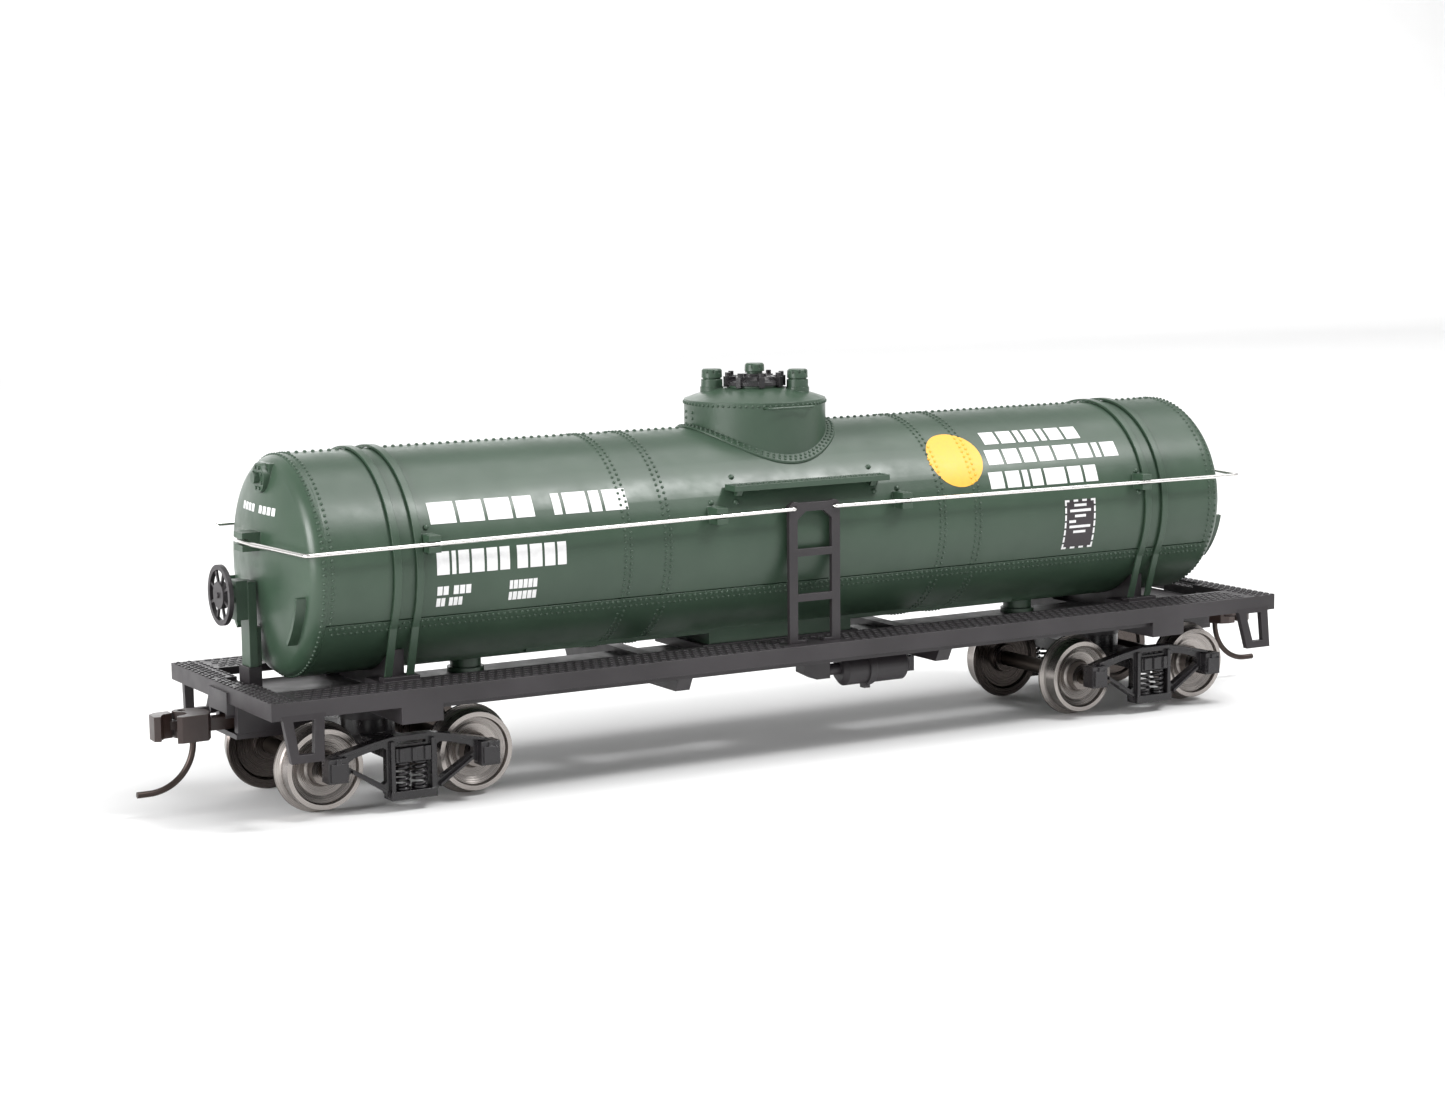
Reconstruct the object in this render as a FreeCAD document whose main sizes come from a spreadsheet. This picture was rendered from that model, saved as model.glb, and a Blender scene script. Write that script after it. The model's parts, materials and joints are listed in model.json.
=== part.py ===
import FreeCAD, Part
import math
import os

import Sketcher

# Model tank wagon, 1:87 scale, millimetres.  +X runs along the wagon, +Z is up, and z = 0 is the
# lowest point of the wheel flanges.  The "a" end, with the brake wheel, is the -X end.

Vector = FreeCAD.Vector
doc = FreeCAD.newDocument("tank_wagon")

SIZES = (
    # name, millimetres or degrees, what it is
    ("flange_radius", 5.4, "wheel radius over the flange, and height of the axle"),
    ("tread_radius", 4.8, "wheel radius at the tread"),
    ("wheel_back", 7.2, "half the distance between the wheel backs"),
    ("wheel_width", 2.8, "wheel thickness over the rim"),
    ("axle_radius", 1.0, "axle between the wheels"),
    ("journal_radius", 0.5, "axle end that turns in the side frame"),
    ("bearing_play", 0.05, "radial clearance of every turning pin"),
    ("axle_offset", 9.6, "axle to truck centre"),
    ("truck_centre", 54.4, "truck pivot to middle of the wagon"),
    ("frame_plane", 11.8, "inner face of a side frame"),
    ("frame_plate", 1.0, "side frame thickness"),
    ("truck_plate_top", 9.2, "height where truck and body meet"),
    ("deck_length", 145.6, "length over the end beams"),
    ("deck_width", 32.3, "width over the side sills"),
    ("deck_top", 14.9, "top of the running boards"),
    ("board_width", 6.6, "running board along each side"),
    ("board_thickness", 0.9, "running board plate"),
    ("walkway_width", 3.3, "walkway across each end"),
    ("sill_depth", 2.0, "side sill and end beam depth"),
    ("sill_wall", 1.0, "side sill and end beam thickness"),
    ("centre_sill_width", 5.0, "centre sill"),
    ("centre_sill_top", 13.3, "top of the centre sill"),
    ("centre_sill_bottom", 11.9, "underside of the centre sill"),
    ("bolster_width", 5.2, "body bolster along the wagon"),
    ("bolster_bottom", 10.9, "underside of the body bolster"),
    ("crossbearer_offset", 19.1, "crossbearer to middle of the wagon"),
    ("tank_radius", 13.1, "tank barrel"),
    ("tank_axis", 28.03, "height of the tank axis"),
    ("tank_wall", 1.2, "tank shell thickness"),
    ("barrel_half", 64.2, "half the barrel length"),
    ("seam_drop", 26.2, "degrees from the tank's side down to the bottom sheet's seam"),
    ("seam_gap", 0.6, "degrees of open seam above the bottom sheet"),
    ("knuckle_radius", 2.0, "rounded edge of a tank head"),
    ("dish_radius", 40.0, "dish of a tank head"),
    ("post_offset", 41.3, "tank mounting post to middle of the wagon"),
    ("dome_radius", 9.0, "expansion dome"),
    ("flange_end", 1.35, "dome flange beyond the dome, along the wagon"),
    ("flange_side", 0.8, "dome flange beyond the dome, across the wagon"),
    ("dome_rim", 44.4, "height of the dome's top rim"),
    ("dome_rise", 1.65, "crown of the dome top"),
    ("hatch_seat", 46.1, "height of the flat seat under the hatch cover"),
    ("valve_x", 4.3, "safety valve to dome centre, along the wagon"),
    ("valve_y", 3.4, "safety valve to dome centre, across the wagon"),
    ("valve_seat", 45.8, "height of the flat seats under the safety valves"),
    ("strap_offset", 1.4, "tank band to saddle centre"),
    ("strap_width", 0.9, "tank band width"),
    ("strap_thickness", 0.3, "tank band thickness"),
    ("strap_foot", 9.9, "foot of a tank band to middle of the wagon, across"),
    ("rail_height", 31.75, "height of the handrail wire at the ladders"),
    ("rail_drop", 0.25, "how far the wire sinks from the ladders to the tank heads"),
    ("rail_sag", 0.8, "how far it sinks at the a end of the near side"),
    ("rail_side", 14.5, "handrail to middle of the wagon, across"),
    ("rail_end", 67.4, "handrail corner to middle of the wagon, along"),
    ("rail_bow", 2.2, "how far the handrail bows out round a tank head"),
    ("wire_radius", 0.25, "handrail wire"),
    ("ladder_half", 3.7, "half the ladder width"),
    ("ladder_face", 14.2, "outer face of a ladder"),
    ("ladder_plate", 0.6, "ladder thickness"),
    ("ladder_eye", 2.85, "handrail eye to ladder centre"),
    ("platform_half", 11.3, "half the dome platform's length"),
    ("platform_top", 35.1, "top of a dome platform"),
    ("platform_edge", 14.0, "outer edge of a dome platform"),
    ("coupler_pivot", 66.7, "coupler pivot to middle of the wagon"),
    ("coupler_low", 8.75, "underside of the coupler head"),
    ("coupler_high", 11.85, "top of the coupler head"),
    ("brake_wheel_radius", 3.57, "brake wheel"),
    ("brake_wheel_height", 25.0, "height of the brake wheel's shaft"),
    ("stand_foot", 16.4, "top of the foot under the brake stand"),
    ("brake_shaft_y", 1.0, "brake wheel's shaft to middle of the wagon, across"),
)

sheet = doc.addObject("Spreadsheet::Sheet", "sizes")
for row, (name, number, note) in enumerate(SIZES, 1):
    sheet.set(f"A{row}", note)
    sheet.set(f"B{row}", str(number))
    sheet.setAlias(f"B{row}", name)
doc.recompute()


# ---------------------------------------------------------------- sizes that carry their formula


class Size:
    """A number together with the sheet formula that gives it."""

    def __init__(self, value, formula):
        self.value = value
        self.formula = formula

    def __add__(self, other):
        other = as_size(other)
        return Size(self.value + other.value, f"({self.formula} + {other.formula})")

    def __sub__(self, other):
        other = as_size(other)
        return Size(self.value - other.value, f"({self.formula} - {other.formula})")

    def __mul__(self, other):
        other = as_size(other)
        return Size(self.value * other.value, f"({self.formula} * {other.formula})")

    def __truediv__(self, other):
        other = as_size(other)
        return Size(self.value / other.value, f"({self.formula} / {other.formula})")

    def __radd__(self, other):
        return as_size(other) + self

    def __rsub__(self, other):
        return as_size(other) - self

    def __rmul__(self, other):
        return as_size(other) * self

    def __neg__(self):
        return Size(-self.value, f"(0 - {self.formula})")

    def root(self):
        return Size(math.sqrt(self.value), f"sqrt({self.formula})")


def as_size(number):
    if isinstance(number, Size):
        return number
    return Size(float(number), f"({float(number)!r})")


def sorted_sizes(*sizes):
    return sorted(sizes, key=lambda size: size.value)


class Sheet:
    """Sheet values by name, as sizes."""

    def __getattr__(self, name):
        return Size(float(sheet.get(name)), f"sizes.{name}")


mm = Sheet()


def bind(thing, path, size):
    """Give a property its formula; a plain number has no formula to give."""
    if "sizes." in as_size(size).formula:
        thing.setExpression(path, as_size(size).formula)


# ---------------------------------------------------------------- sketches


def box(x0, y0, x1, y1):
    return [(x0, y0), (x1, y0), (x1, y1), (x0, y1)]


def disc(x, y, radius):
    return ("disc", x, y, radius)


def pin(sketch, geometry, end, x, y):
    """Hold one sketch point at x, y from the sketch origin."""
    for kind, axis, size in (("DistanceX", -2, as_size(x)), ("DistanceY", -1, as_size(y))):
        if abs(size.value) < 1e-9:
            sketch.addConstraint(Sketcher.Constraint("PointOnObject", geometry, end, axis))
            continue
        rule = Sketcher.Constraint(kind, -1, 1, geometry, end, size.value)
        number = sketch.addConstraint(rule)
        bind(sketch, f"Constraints[{number}]", size)


def set_radius(sketch, geometry, radius):
    rule = Sketcher.Constraint("Radius", geometry, as_size(radius).value)
    number = sketch.addConstraint(rule)
    bind(sketch, f"Constraints[{number}]", radius)


def arc_between(start, finish, bend):
    """The shorter arc from start to finish; a positive bend turns left, a negative one right."""
    radius = abs(bend)
    along = finish - start
    left = Vector(-along.y, along.x, 0).normalize()
    if bend < 0:
        left = left * -1
    reach = math.sqrt(max(radius**2 - (along.Length / 2) ** 2, 0.0))
    centre = (start + finish) * 0.5 + left * reach
    return Part.Arc(start, centre - left * radius, finish).toShape().Curve, centre


def draw_loop(sketch, loop):
    """A closed outline; a corner with a third entry starts an arc of that radius."""
    corners = [tuple(as_size(n) for n in corner) for corner in loop]
    points = [Vector(c[0].value, c[1].value, 0) for c in corners]
    pieces = []
    for i, corner in enumerate(corners):
        start, finish = points[i], points[(i + 1) % len(points)]
        if len(corner) == 2:
            number = sketch.addGeometry(Part.LineSegment(start, finish), False)
            pieces.append((number, 1, 2))
            continue
        bend = corner[2].value
        circle, centre = arc_between(start, finish, bend)
        first = math.atan2(start.y - centre.y, start.x - centre.x)
        last = math.atan2(finish.y - centre.y, finish.x - centre.x)
        if bend < 0:
            first, last = last, first
        if last < first:
            last += 2 * math.pi
        whole = Part.Circle(centre, Vector(0, 0, 1), abs(bend))
        number = sketch.addGeometry(Part.ArcOfCircle(whole, first, last), False)
        pieces.append((number, 1, 2) if bend > 0 else (number, 2, 1))
    for i, (number, head, tail) in enumerate(pieces):
        following, next_head, _ = pieces[(i + 1) % len(pieces)]
        join = Sketcher.Constraint("Coincident", number, tail, following, next_head)
        sketch.addConstraint(join)
        pin(sketch, number, head, corners[i][0], corners[i][1])
        if len(corners[i]) == 3:
            bend = corners[i][2]
            set_radius(sketch, number, bend if bend.value > 0 else -bend)


def draw_disc(sketch, x, y, radius):
    spot = Vector(as_size(x).value, as_size(y).value, 0)
    circle = Part.Circle(spot, Vector(0, 0, 1), as_size(radius).value)
    number = sketch.addGeometry(circle, False)
    pin(sketch, number, 3, x, y)
    set_radius(sketch, number, radius)


# Which way each origin plane faces: XZ faces -Y, the others face their positive axis.
FACING = {"XY": 1, "YZ": 1, "XZ": -1}
ALL_PIECES = []


class Piece:
    """One named piece: a body whose sketches and features take their sizes from the sheet."""

    def __init__(self, name, at=(0, 0, 0), turn=0, publish=True):
        self.body = doc.addObject("PartDesign::Body", name)
        self.body.Label = name
        spot = Vector(*[as_size(n).value for n in at])
        turned = FreeCAD.Rotation(Vector(0, 0, 1), turn)
        self.body.Placement = FreeCAD.Placement(spot, turned)
        for axis, size in zip("xyz", at):
            bind(self.body, f"Placement.Base.{axis}", size)
        self.count = 0
        if publish:
            ALL_PIECES.append(self.body)

    def origin(self, role):
        return next(f for f in self.body.Origin.OriginFeatures if f.Role == role)

    def sketch(self, plane, loops, height):
        self.count += 1
        name = f"{self.body.Label}_outline_{self.count}"
        sketch = self.body.newObject("Sketcher::SketchObject", name)
        sketch.AttachmentSupport = [(self.origin(f"{plane}_Plane"), "")]
        sketch.MapMode = "FlatFace"
        lift = FACING[plane] * as_size(height)
        sketch.AttachmentOffset.Base = Vector(0, 0, lift.value)
        sketch.AttachmentOffset = FreeCAD.Placement(Vector(0, 0, lift.value), FreeCAD.Rotation())
        bind(sketch, "AttachmentOffset.Base.z", lift)
        for loop in loops:
            if loop[0] == "disc":
                draw_disc(sketch, *loop[1:])
            else:
                draw_loop(sketch, loop)
        sketch.Visibility = False
        return sketch

    def feature(self, kind, name, sketch):
        made = self.body.newObject(kind, f"{self.body.Label}_{name}_{self.count}")
        made.Profile = sketch
        return made

    def pad(self, plane, loops, low, high):
        """Fill the loops between two distances along the plane's axis."""
        start = low if FACING[plane] > 0 else high
        made = self.feature("PartDesign::Pad", "pad", self.sketch(plane, loops, start))
        made.Length = (as_size(high) - low).value
        bind(made, "Length", as_size(high) - low)
        return self

    def cut(self, plane, loops, low, high):
        """Remove the loops between two distances along the plane's axis."""
        start = high if FACING[plane] > 0 else low
        made = self.feature("PartDesign::Pocket", "cut", self.sketch(plane, loops, start))
        made.Length = (as_size(high) - low).value
        bind(made, "Length", as_size(high) - low)
        return self

    def turn(self, plane, loops, axis, angle=360, kind="Revolution"):
        """Turn the loops round one of the piece's own axes."""
        made = self.feature(f"PartDesign::{kind}", "turn", self.sketch(plane, loops, 0))
        made.ReferenceAxis = (self.origin(f"{axis}_Axis"), [""])
        made.Angle = as_size(angle).value
        bind(made, "Angle", angle)
        made.Midplane = True
        return self


def group(name, pieces):
    """Several identical separate solids that share one node."""
    made = doc.addObject("Part::Compound", name)
    made.Label = name
    made.Links = [piece.body for piece in pieces]
    ALL_PIECES.append(made)


def solid(name, shape, at=(0, 0, 0), turn=0, publish=True):
    """A piece whose shape is swept along a path, which a body's features do not fit."""
    made = doc.addObject("Part::Feature", name)
    made.Label = name
    made.Shape = shape
    spot = Vector(*[as_size(n).value for n in at])
    made.Placement = FreeCAD.Placement(spot, FreeCAD.Rotation(Vector(0, 0, 1), turn))
    for axis, size in zip("xyz", at):
        bind(made, f"Placement.Base.{axis}", size)
    if publish:
        ALL_PIECES.append(made)
    return made


def sweep(path, radius):
    """A round wire along a path of joined edges."""
    wire = Part.Wire(path)
    first = path[0]
    start = first.valueAt(first.FirstParameter)
    heading = first.tangentAt(first.FirstParameter)
    ring = Part.Wire([Part.makeCircle(radius, start, heading)])
    made = wire.makePipeShell([ring], True, True)
    return made if made.ShapeType == "Solid" else Part.Solid(made)


def bent_path(points, bends):
    """Straight runs between points, with a bend radius for each corner between them."""
    points = [Vector(*p) for p in points]
    edges = []
    here = points[0]
    for before, corner, after, bend in zip(points, points[1:], points[2:], bends):
        towards = (before - corner).normalize()
        away = (after - corner).normalize()
        half = towards.getAngle(away) / 2
        back = bend / math.tan(half)
        enter = corner + towards * back
        leave = corner + away * back
        inward = (towards + away).normalize()
        middle = corner + inward * (bend / math.sin(half) - bend)
        edges.append(Part.LineSegment(here, enter).toShape())
        edges.append(Part.Arc(enter, middle, leave).toShape())
        here = leave
    edges.append(Part.LineSegment(here, points[-1]).toShape())
    return edges


def rail_level(x, y):
    """Height of the handrail wire; it sinks a little from the ladders to the tank heads."""
    x = as_size(x)
    drop = mm.rail_sag if x.value < 0 and y < 0 else mm.rail_drop
    along = -x if x.value < 0 else x
    return mm.rail_height - drop * (along - mm.ladder_eye) / (mm.rail_end - mm.ladder_eye)


def bracket_level(side):
    """Height of the wire where it passes the middle of a tank head."""
    end = side * mm.rail_end
    return (rail_level(end, -1) + rail_level(end, 1)) / 2


def polar(radius, degrees):
    """A point at an angle round the sketch origin, as sizes."""
    radius = as_size(radius)
    cos, sin = math.cos(math.radians(degrees)), math.sin(math.radians(degrees))
    return round(cos, 9) * radius, round(sin, 9) * radius


# ---------------------------------------------------------------- underframe


def make_underframe():
    half_length = mm.deck_length / 2
    half_width = mm.deck_width / 2
    inner_length = half_length - mm.walkway_width
    inner_width = half_width - mm.board_width
    plate_low = mm.deck_top - mm.board_thickness
    sill_low = mm.deck_top - mm.sill_depth
    frame = Piece("underframe")

    # Running boards and end walkways are one flat ring; sills and end beams hang below its edge.
    outer = box(-half_length, -half_width, half_length, half_width)
    opening = box(-inner_length, -inner_width, inner_length, inner_width)
    frame.pad("XY", [outer, opening], plate_low, mm.deck_top)
    wall_x, wall_y = half_length - mm.sill_wall, half_width - mm.sill_wall
    frame.pad("XY", [outer, box(-wall_x, -wall_y, wall_x, wall_y)], sill_low, mm.deck_top)
    lip = mm.truck_centre - mm.bolster_width / 2
    lips = [
        box(-lip, -half_width + 0.75, lip, -half_width + 1.5),
        box(-lip, half_width - 1.5, lip, half_width - 0.75),
    ]
    frame.pad("XY", lips, sill_low - 0.6, plate_low)

    # Centre sill with a draft gear box at each end.
    half_sill = mm.centre_sill_width / 2
    sill = box(-inner_length, -half_sill, inner_length, half_sill)
    frame.pad("XY", [sill], mm.centre_sill_bottom, mm.centre_sill_top)
    box_low = mm.coupler_low + 0.55
    for side in (-1, 1):
        gear = box(side * 63.0, -3.5, side * (wall_x + 0.2), 3.5)
        frame.pad("XY", [gear], box_low, mm.centre_sill_top)
        cover = box(side * 56.0, -8.3, side * (inner_length + 0.2), 8.3)
        frame.pad("XY", [cover], mm.centre_sill_top - 0.6, mm.centre_sill_top)
        under_walkway = box(side * inner_length, -3.5, side * (wall_x + 0.2), 3.5)
        frame.pad("XY", [under_walkway], mm.centre_sill_top - 0.3, plate_low + 0.2)
        brow = sill_low + 1.3
        striker = [(-2.9, brow), (-2.9, 11.6), (-2.2, 10.9), (2.2, 10.9), (2.9, 11.6), (2.9, brow)]
        near, far = sorted_sizes(side * (half_length - 0.9), side * (half_length + 0.25))
        frame.pad("YZ", [striker], near, far)

    # Body bolsters, with a round centre plate and a saddle that cradles the tank.
    cradle = mm.tank_radius + 0.1
    for side in (-1, 1):
        middle = side * mm.truck_centre
        beam = box(middle - mm.bolster_width / 2, -half_width, middle + mm.bolster_width / 2, half_width)
        frame.pad("XY", [beam], mm.bolster_bottom, mm.deck_top)
        notch = box(middle - mm.bolster_width / 2, -5.9, middle + mm.bolster_width / 2, 5.9)
        frame.cut("XY", [notch], mm.centre_sill_top, mm.deck_top)
        frame.pad("XY", [disc(middle, 0, 3.4)], mm.truck_plate_top, mm.bolster_bottom + 0.5)
        low, high = mm.centre_sill_top - 0.2, mm.deck_top + 3.5
        saddle = [(-9.2, low), (9.2, low), (9.2, high), (-9.2, high)]
        frame.pad("YZ", [saddle], middle - 0.9, middle + 0.9)
        frame.cut("YZ", [disc(0, mm.tank_axis, cradle)], middle - 1.0, middle + 1.0)
        for y in (-mm.strap_foot, mm.strap_foot):
            foot = box(middle - 2.3, y - 0.7, middle + 2.3, y + 0.7)
            frame.pad("XY", [foot], mm.deck_top - 0.1, mm.deck_top + 0.5)

    # Crossbearers, the middle anchor pad and the plate that carries the brake reservoir.
    low = mm.bolster_bottom - 0.2
    bearer = [(-15.2, plate_low), (-15.2, 12.6), (-14.2, low), (14.2, low), (15.2, 12.6), (15.2, plate_low)]
    for side in (-1, 1):
        middle = side * mm.crossbearer_offset
        frame.pad("YZ", [bearer], middle - 1.0, middle + 1.0)
    pad = box(-11.5, -6.2, 11.5, 6.2)
    frame.pad("XY", [pad], mm.centre_sill_top - 0.1, plate_low + 0.4)
    frame.pad("XY", [box(4.0, -9.5, 18.5, -half_sill + 0.2)], mm.centre_sill_bottom + 0.1, 12.8)

    # Stirrup steps hang below the sills near the corners and lean outwards.
    top, foot, lean = sill_low + 0.5, 8.1, 1.2
    for side in (-1, 1):
        near, far = sorted_sizes(side * as_size(66.3), side * as_size(71.7))
        waist = [(66.2, sill_low), (66.5, sill_low), (67.1, foot - 0.1), (66.2, foot - 0.1)]
        brow = [(71.8, sill_low), (71.5, sill_low), (71.0, foot - 0.1), (71.8, foot - 0.1)]
        foothold = [(67.7, sill_low - 0.2), (70.3, sill_low - 0.2), (70.0, foot + 0.9), (68.2, foot + 0.9)]
        gaps = [[(side * x, z) for x, z in loop] for loop in (waist, brow, foothold)]
        for out in (-1, 1):
            edge = out * half_width
            toe = edge + out * lean
            strip = [(edge, top), (edge - out * 0.8, top), (toe - out * 0.8, foot), (toe, foot)]
            frame.pad("YZ", [strip], near, far)
            low, high = sorted_sizes(edge - out * 1.0, edge + out * (lean + 0.2))
            for gap in gaps:
                frame.cut("XZ", [gap], low, high)

    # Coupler pockets with a pivot post, and the screw holes.
    for side in (-1, 1):
        pocket = box(side * 64.5, -2.4, side * (half_length + 0.4), 2.4)
        frame.cut("XY", [pocket], box_low, box_low + 2.4)
        post = disc(side * mm.coupler_pivot, 0, 0.95)
        frame.pad("XY", [post], box_low, box_low + 2.6)
        frame.cut("XY", [disc(side * mm.coupler_pivot, 0, 0.5)], box_low, 12.6)
        frame.cut("XY", [disc(side * mm.truck_centre, 0, 0.8)], mm.truck_plate_top, 12.9)
        hole = disc(side * mm.post_offset, 0, 0.8)
        frame.cut("XY", [hole], mm.centre_sill_bottom, mm.centre_sill_top)
        gap = box(side * (half_length - 1.9), -14.6, side * (half_length - 1.65), 14.6)
        frame.cut("XY", [gap], mm.deck_top - 0.3, mm.deck_top)
        dip = box(side * inner_length, -2.9, side * (half_length - 1.8), 2.9)
        frame.cut("XY", [dip], mm.deck_top - 0.45, mm.deck_top)

    # Foot of the brake stand, with a slot for the stand's tenon.
    y = mm.brake_shaft_y
    frame.pad("XY", [box(-69.3, y - 1.6, -67.7, y + 1.6)], mm.centre_sill_top - 0.1, mm.stand_foot)
    slot = box(-68.95, y - 0.85, -68.25, y + 0.85)
    frame.cut("XY", [slot], mm.stand_foot - 1.1, mm.stand_foot)


# ---------------------------------------------------------------- tank


def make_tank_shell():
    shell = Piece("tank_shell", at=(0, 0, mm.tank_axis))
    inner = mm.tank_radius - mm.tank_wall
    side = box(-mm.barrel_half, inner, mm.barrel_half, mm.tank_radius)
    shell.turn("XZ", [side], "X", 180 + 2 * (mm.seam_drop - mm.seam_gap))

    # Stanchions with a groove in the outer face for the handrail wire.
    for x in (-51.7, -13.5, 13.5, 51.7):
        outer, bed = mm.rail_side + 0.25, mm.rail_side - 0.3
        for y in (-1, 1):
            height = rail_level(x, y) - mm.tank_axis
            block = box(x - 0.75, height - 1.0, x + 0.75, height + 1.0)
            groove = box(x - 1.0, height - 0.3, x + 1.0, height + 0.3)
            shell.pad("XZ", [block], *sorted_sizes(y * outer, as_size(12.0 * y)))
            shell.cut("XZ", [groove], *sorted_sizes(y * outer, y * bed))

    # Holes for the dome and for the pegs of the dome platforms.
    shell.cut("XY", [disc(0, 0, mm.dome_radius + 0.02)], 4.0, 14.0)
    peg = mm.platform_top - mm.tank_axis - 1.05
    for x in (-9.8, 9.8):
        shell.cut("XZ", [disc(x, peg, 0.27)], -13.0, -9.0)
        shell.cut("XZ", [disc(x, peg, 0.27)], 9.0, 13.0)


def make_tank_bottom():
    sheet_part = Piece("tank_bottom_sheet", at=(0, 0, mm.tank_axis))
    inner = mm.tank_radius - mm.tank_wall
    side = box(-mm.barrel_half, -mm.tank_radius - 0.06, mm.barrel_half, -inner)
    sheet_part.turn("XZ", [side], "X", 180 - 2 * mm.seam_drop)

    # Anchor block in the middle, a flat seat for the steel weight, and two screw posts.
    anchor_low = mm.deck_top - mm.board_thickness + 0.4 - mm.tank_axis
    sheet_part.pad("XY", [box(-10.5, -6.0, 10.5, 6.0)], anchor_low, -11.2)
    sheet_part.pad("XY", [box(-36.0, -6.0, 36.0, 6.0)], -12.2, -10.2)
    foot = mm.centre_sill_top - mm.tank_axis
    for end in (-1, 1):
        x = end * mm.post_offset
        sheet_part.pad("XY", [disc(x, 0, 1.9)], foot + 0.5, -7.5)
        sheet_part.pad("XY", [disc(x, 0, 2.25)], foot, foot + 0.6)
        sheet_part.cut("XY", [disc(x, 0, 0.72)], foot, -8.2)


def make_tank_head(name, side):
    turn = 0 if side > 0 else 180
    head = Piece(name, at=(side * mm.barrel_half, 0, mm.tank_axis), turn=turn)
    radius, knuckle, dish = mm.tank_radius, mm.knuckle_radius, mm.dish_radius
    bend_r = radius - knuckle
    back = ((dish - knuckle) * (dish - knuckle) - bend_r * bend_r).root()
    meet_x = dish * back / (dish - knuckle) - back
    meet_r = dish * bend_r / (dish - knuckle)
    apex = dish - back
    spigot = radius - mm.tank_wall - 0.05
    profile = [
        (0, radius, -knuckle),
        (meet_x, meet_r, -dish),
        (apex, 0),
        (apex - 1.4, 0),
        (1.6, 6.5),
        (0.4, spigot - 1.0),
        (-2.0, spigot - 1.0),
        (-2.0, spigot),
        (0, spigot),
    ]
    head.turn("XY", [profile], "X")

    # Bracket for the handrail wire, at the middle of the head.
    height = bracket_level(side) - mm.tank_axis
    wire_x = mm.rail_end + mm.rail_bow - mm.barrel_half
    head.pad("YZ", [box(-1.3, height - 1.1, 1.3, height + 1.1)], 3.0, wire_x + 0.3)
    groove = box(wire_x - 0.36, height - 0.36, wire_x + 0.4, height + 0.36)
    head.cut("XZ", [groove], -1.3, 1.3)

    # Bolted round fitting near the top, and a curved rib low on each side.
    fitting = 10.45
    head.pad("YZ", [box(-1.7, fitting - 1.7, 1.7, fitting + 1.7)], 0.8, 2.3)
    head.pad("YZ", [disc(0, fitting, 1.75)], 1.2, 3.05)
    bolts = []
    for k in range(8):
        y, z = polar(1.3, 45 * k + 22.5)
        bolts.append(disc(y, z + fitting, 0.22))
    head.pad("YZ", bolts, 2.9, 3.25)
    head.pad("YZ", [disc(0, fitting, 0.65)], 2.9, 3.75)
    low, high = radius - 2.2, radius - 1.7
    for start, finish in ((-46, -12), (-168, -134)):
        rib = [
            (*polar(low, start), low),
            polar(low, finish),
            (*polar(high, finish), -high),
            polar(high, start),
        ]
        head.pad("YZ", [rib], 0.8, 3.2)


def make_tank_band(name, x):
    """A strap over the barrel whose straight ends stand on feet beside the saddle."""
    band = Piece(name, at=(0, 0, mm.tank_axis))
    inner = mm.tank_radius + 0.1
    outer = inner + mm.strap_thickness
    foot = mm.deck_top + 0.5 - mm.tank_axis
    out_tangent, out_foot = polar(outer, -30), (mm.strap_foot, foot)
    in_tangent, in_foot = polar(inner, -30), (mm.strap_foot - mm.strap_thickness, foot)

    def mirrored(point):
        return (-point[0], point[1])

    loop = [
        out_foot,
        (*out_tangent, outer),
        (0, outer, outer),
        mirrored(out_tangent),
        mirrored(out_foot),
        mirrored(in_foot),
        (*mirrored(in_tangent), -inner),
        (0, inner, -inner),
        in_tangent,
        in_foot,
    ]
    band.pad("YZ", [loop], x - mm.strap_width / 2, x + mm.strap_width / 2)


def oval(half_x, half_y):
    """Four arcs that meet smoothly; the longer way lies along X."""
    end = half_y - 0.5
    shift = half_x - end
    side = (half_y * half_y - end * end + shift * shift) / (2 * (half_y - end))
    reach = side - end
    x, y = side * shift / reach, end * (side - half_y) / reach
    return [(x, -y, end), (x, y, side), (-x, y, end), (-x, -y, side)]


# Where the ends of a grab rail enter the dome wall, along the wagon, on the +Y side.
GRAB_ENDS = (-3.0, 3.5)


def make_dome():
    dome = Piece("dome", at=(0, 0, mm.tank_axis))
    radius = mm.dome_radius

    # Riveting flange that follows the barrel round the foot of the dome.
    dome.pad("XY", [oval(radius + mm.flange_end, radius + mm.flange_side), disc(0, 0, radius - 0.5)], 7.0, 14.0)
    around = mm.tank_radius + 0.25
    outside = box(-16.0, -16.0, 16.0, 16.0)
    dome.cut("YZ", [outside, disc(0, 0, around)], -12.0, 12.0)
    dome.cut("YZ", [disc(0, 0, mm.tank_radius + 0.03)], -12.0, 12.0)

    # Round wall, crowned top and the flat seat of the hatch.
    rim = mm.dome_rim - mm.tank_axis
    rise = mm.dome_rise
    crown = (radius * radius + rise * rise) / (2 * rise)
    seat_r = as_size(3.3)
    seat_z = rim + rise - crown + (crown * crown - seat_r * seat_r).root()
    top = mm.hatch_seat - mm.tank_axis
    profile = [
        (radius - 1.0, 8.4),
        (radius, 8.4),
        (radius, rim, crown),
        (seat_r, seat_z),
        (seat_r, top),
        (0, top),
        (0, rim - 0.4),
        (radius - 1.0, rim - 1.0),
    ]
    dome.turn("XZ", [profile], "Z")
    for side in (-1, 1):
        seat = disc(-side * mm.valve_x, side * mm.valve_y, 1.5)
        dome.pad("XY", [seat], rim + 0.2, mm.valve_seat - mm.tank_axis)
        post_holes = [disc(side * x, rim - 0.6, 0.2) for x in GRAB_ENDS]
        near, far = (-10.0, -7.9) if side < 0 else (7.9, 10.0)
        dome.cut("XZ", post_holes, near, far)


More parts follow.
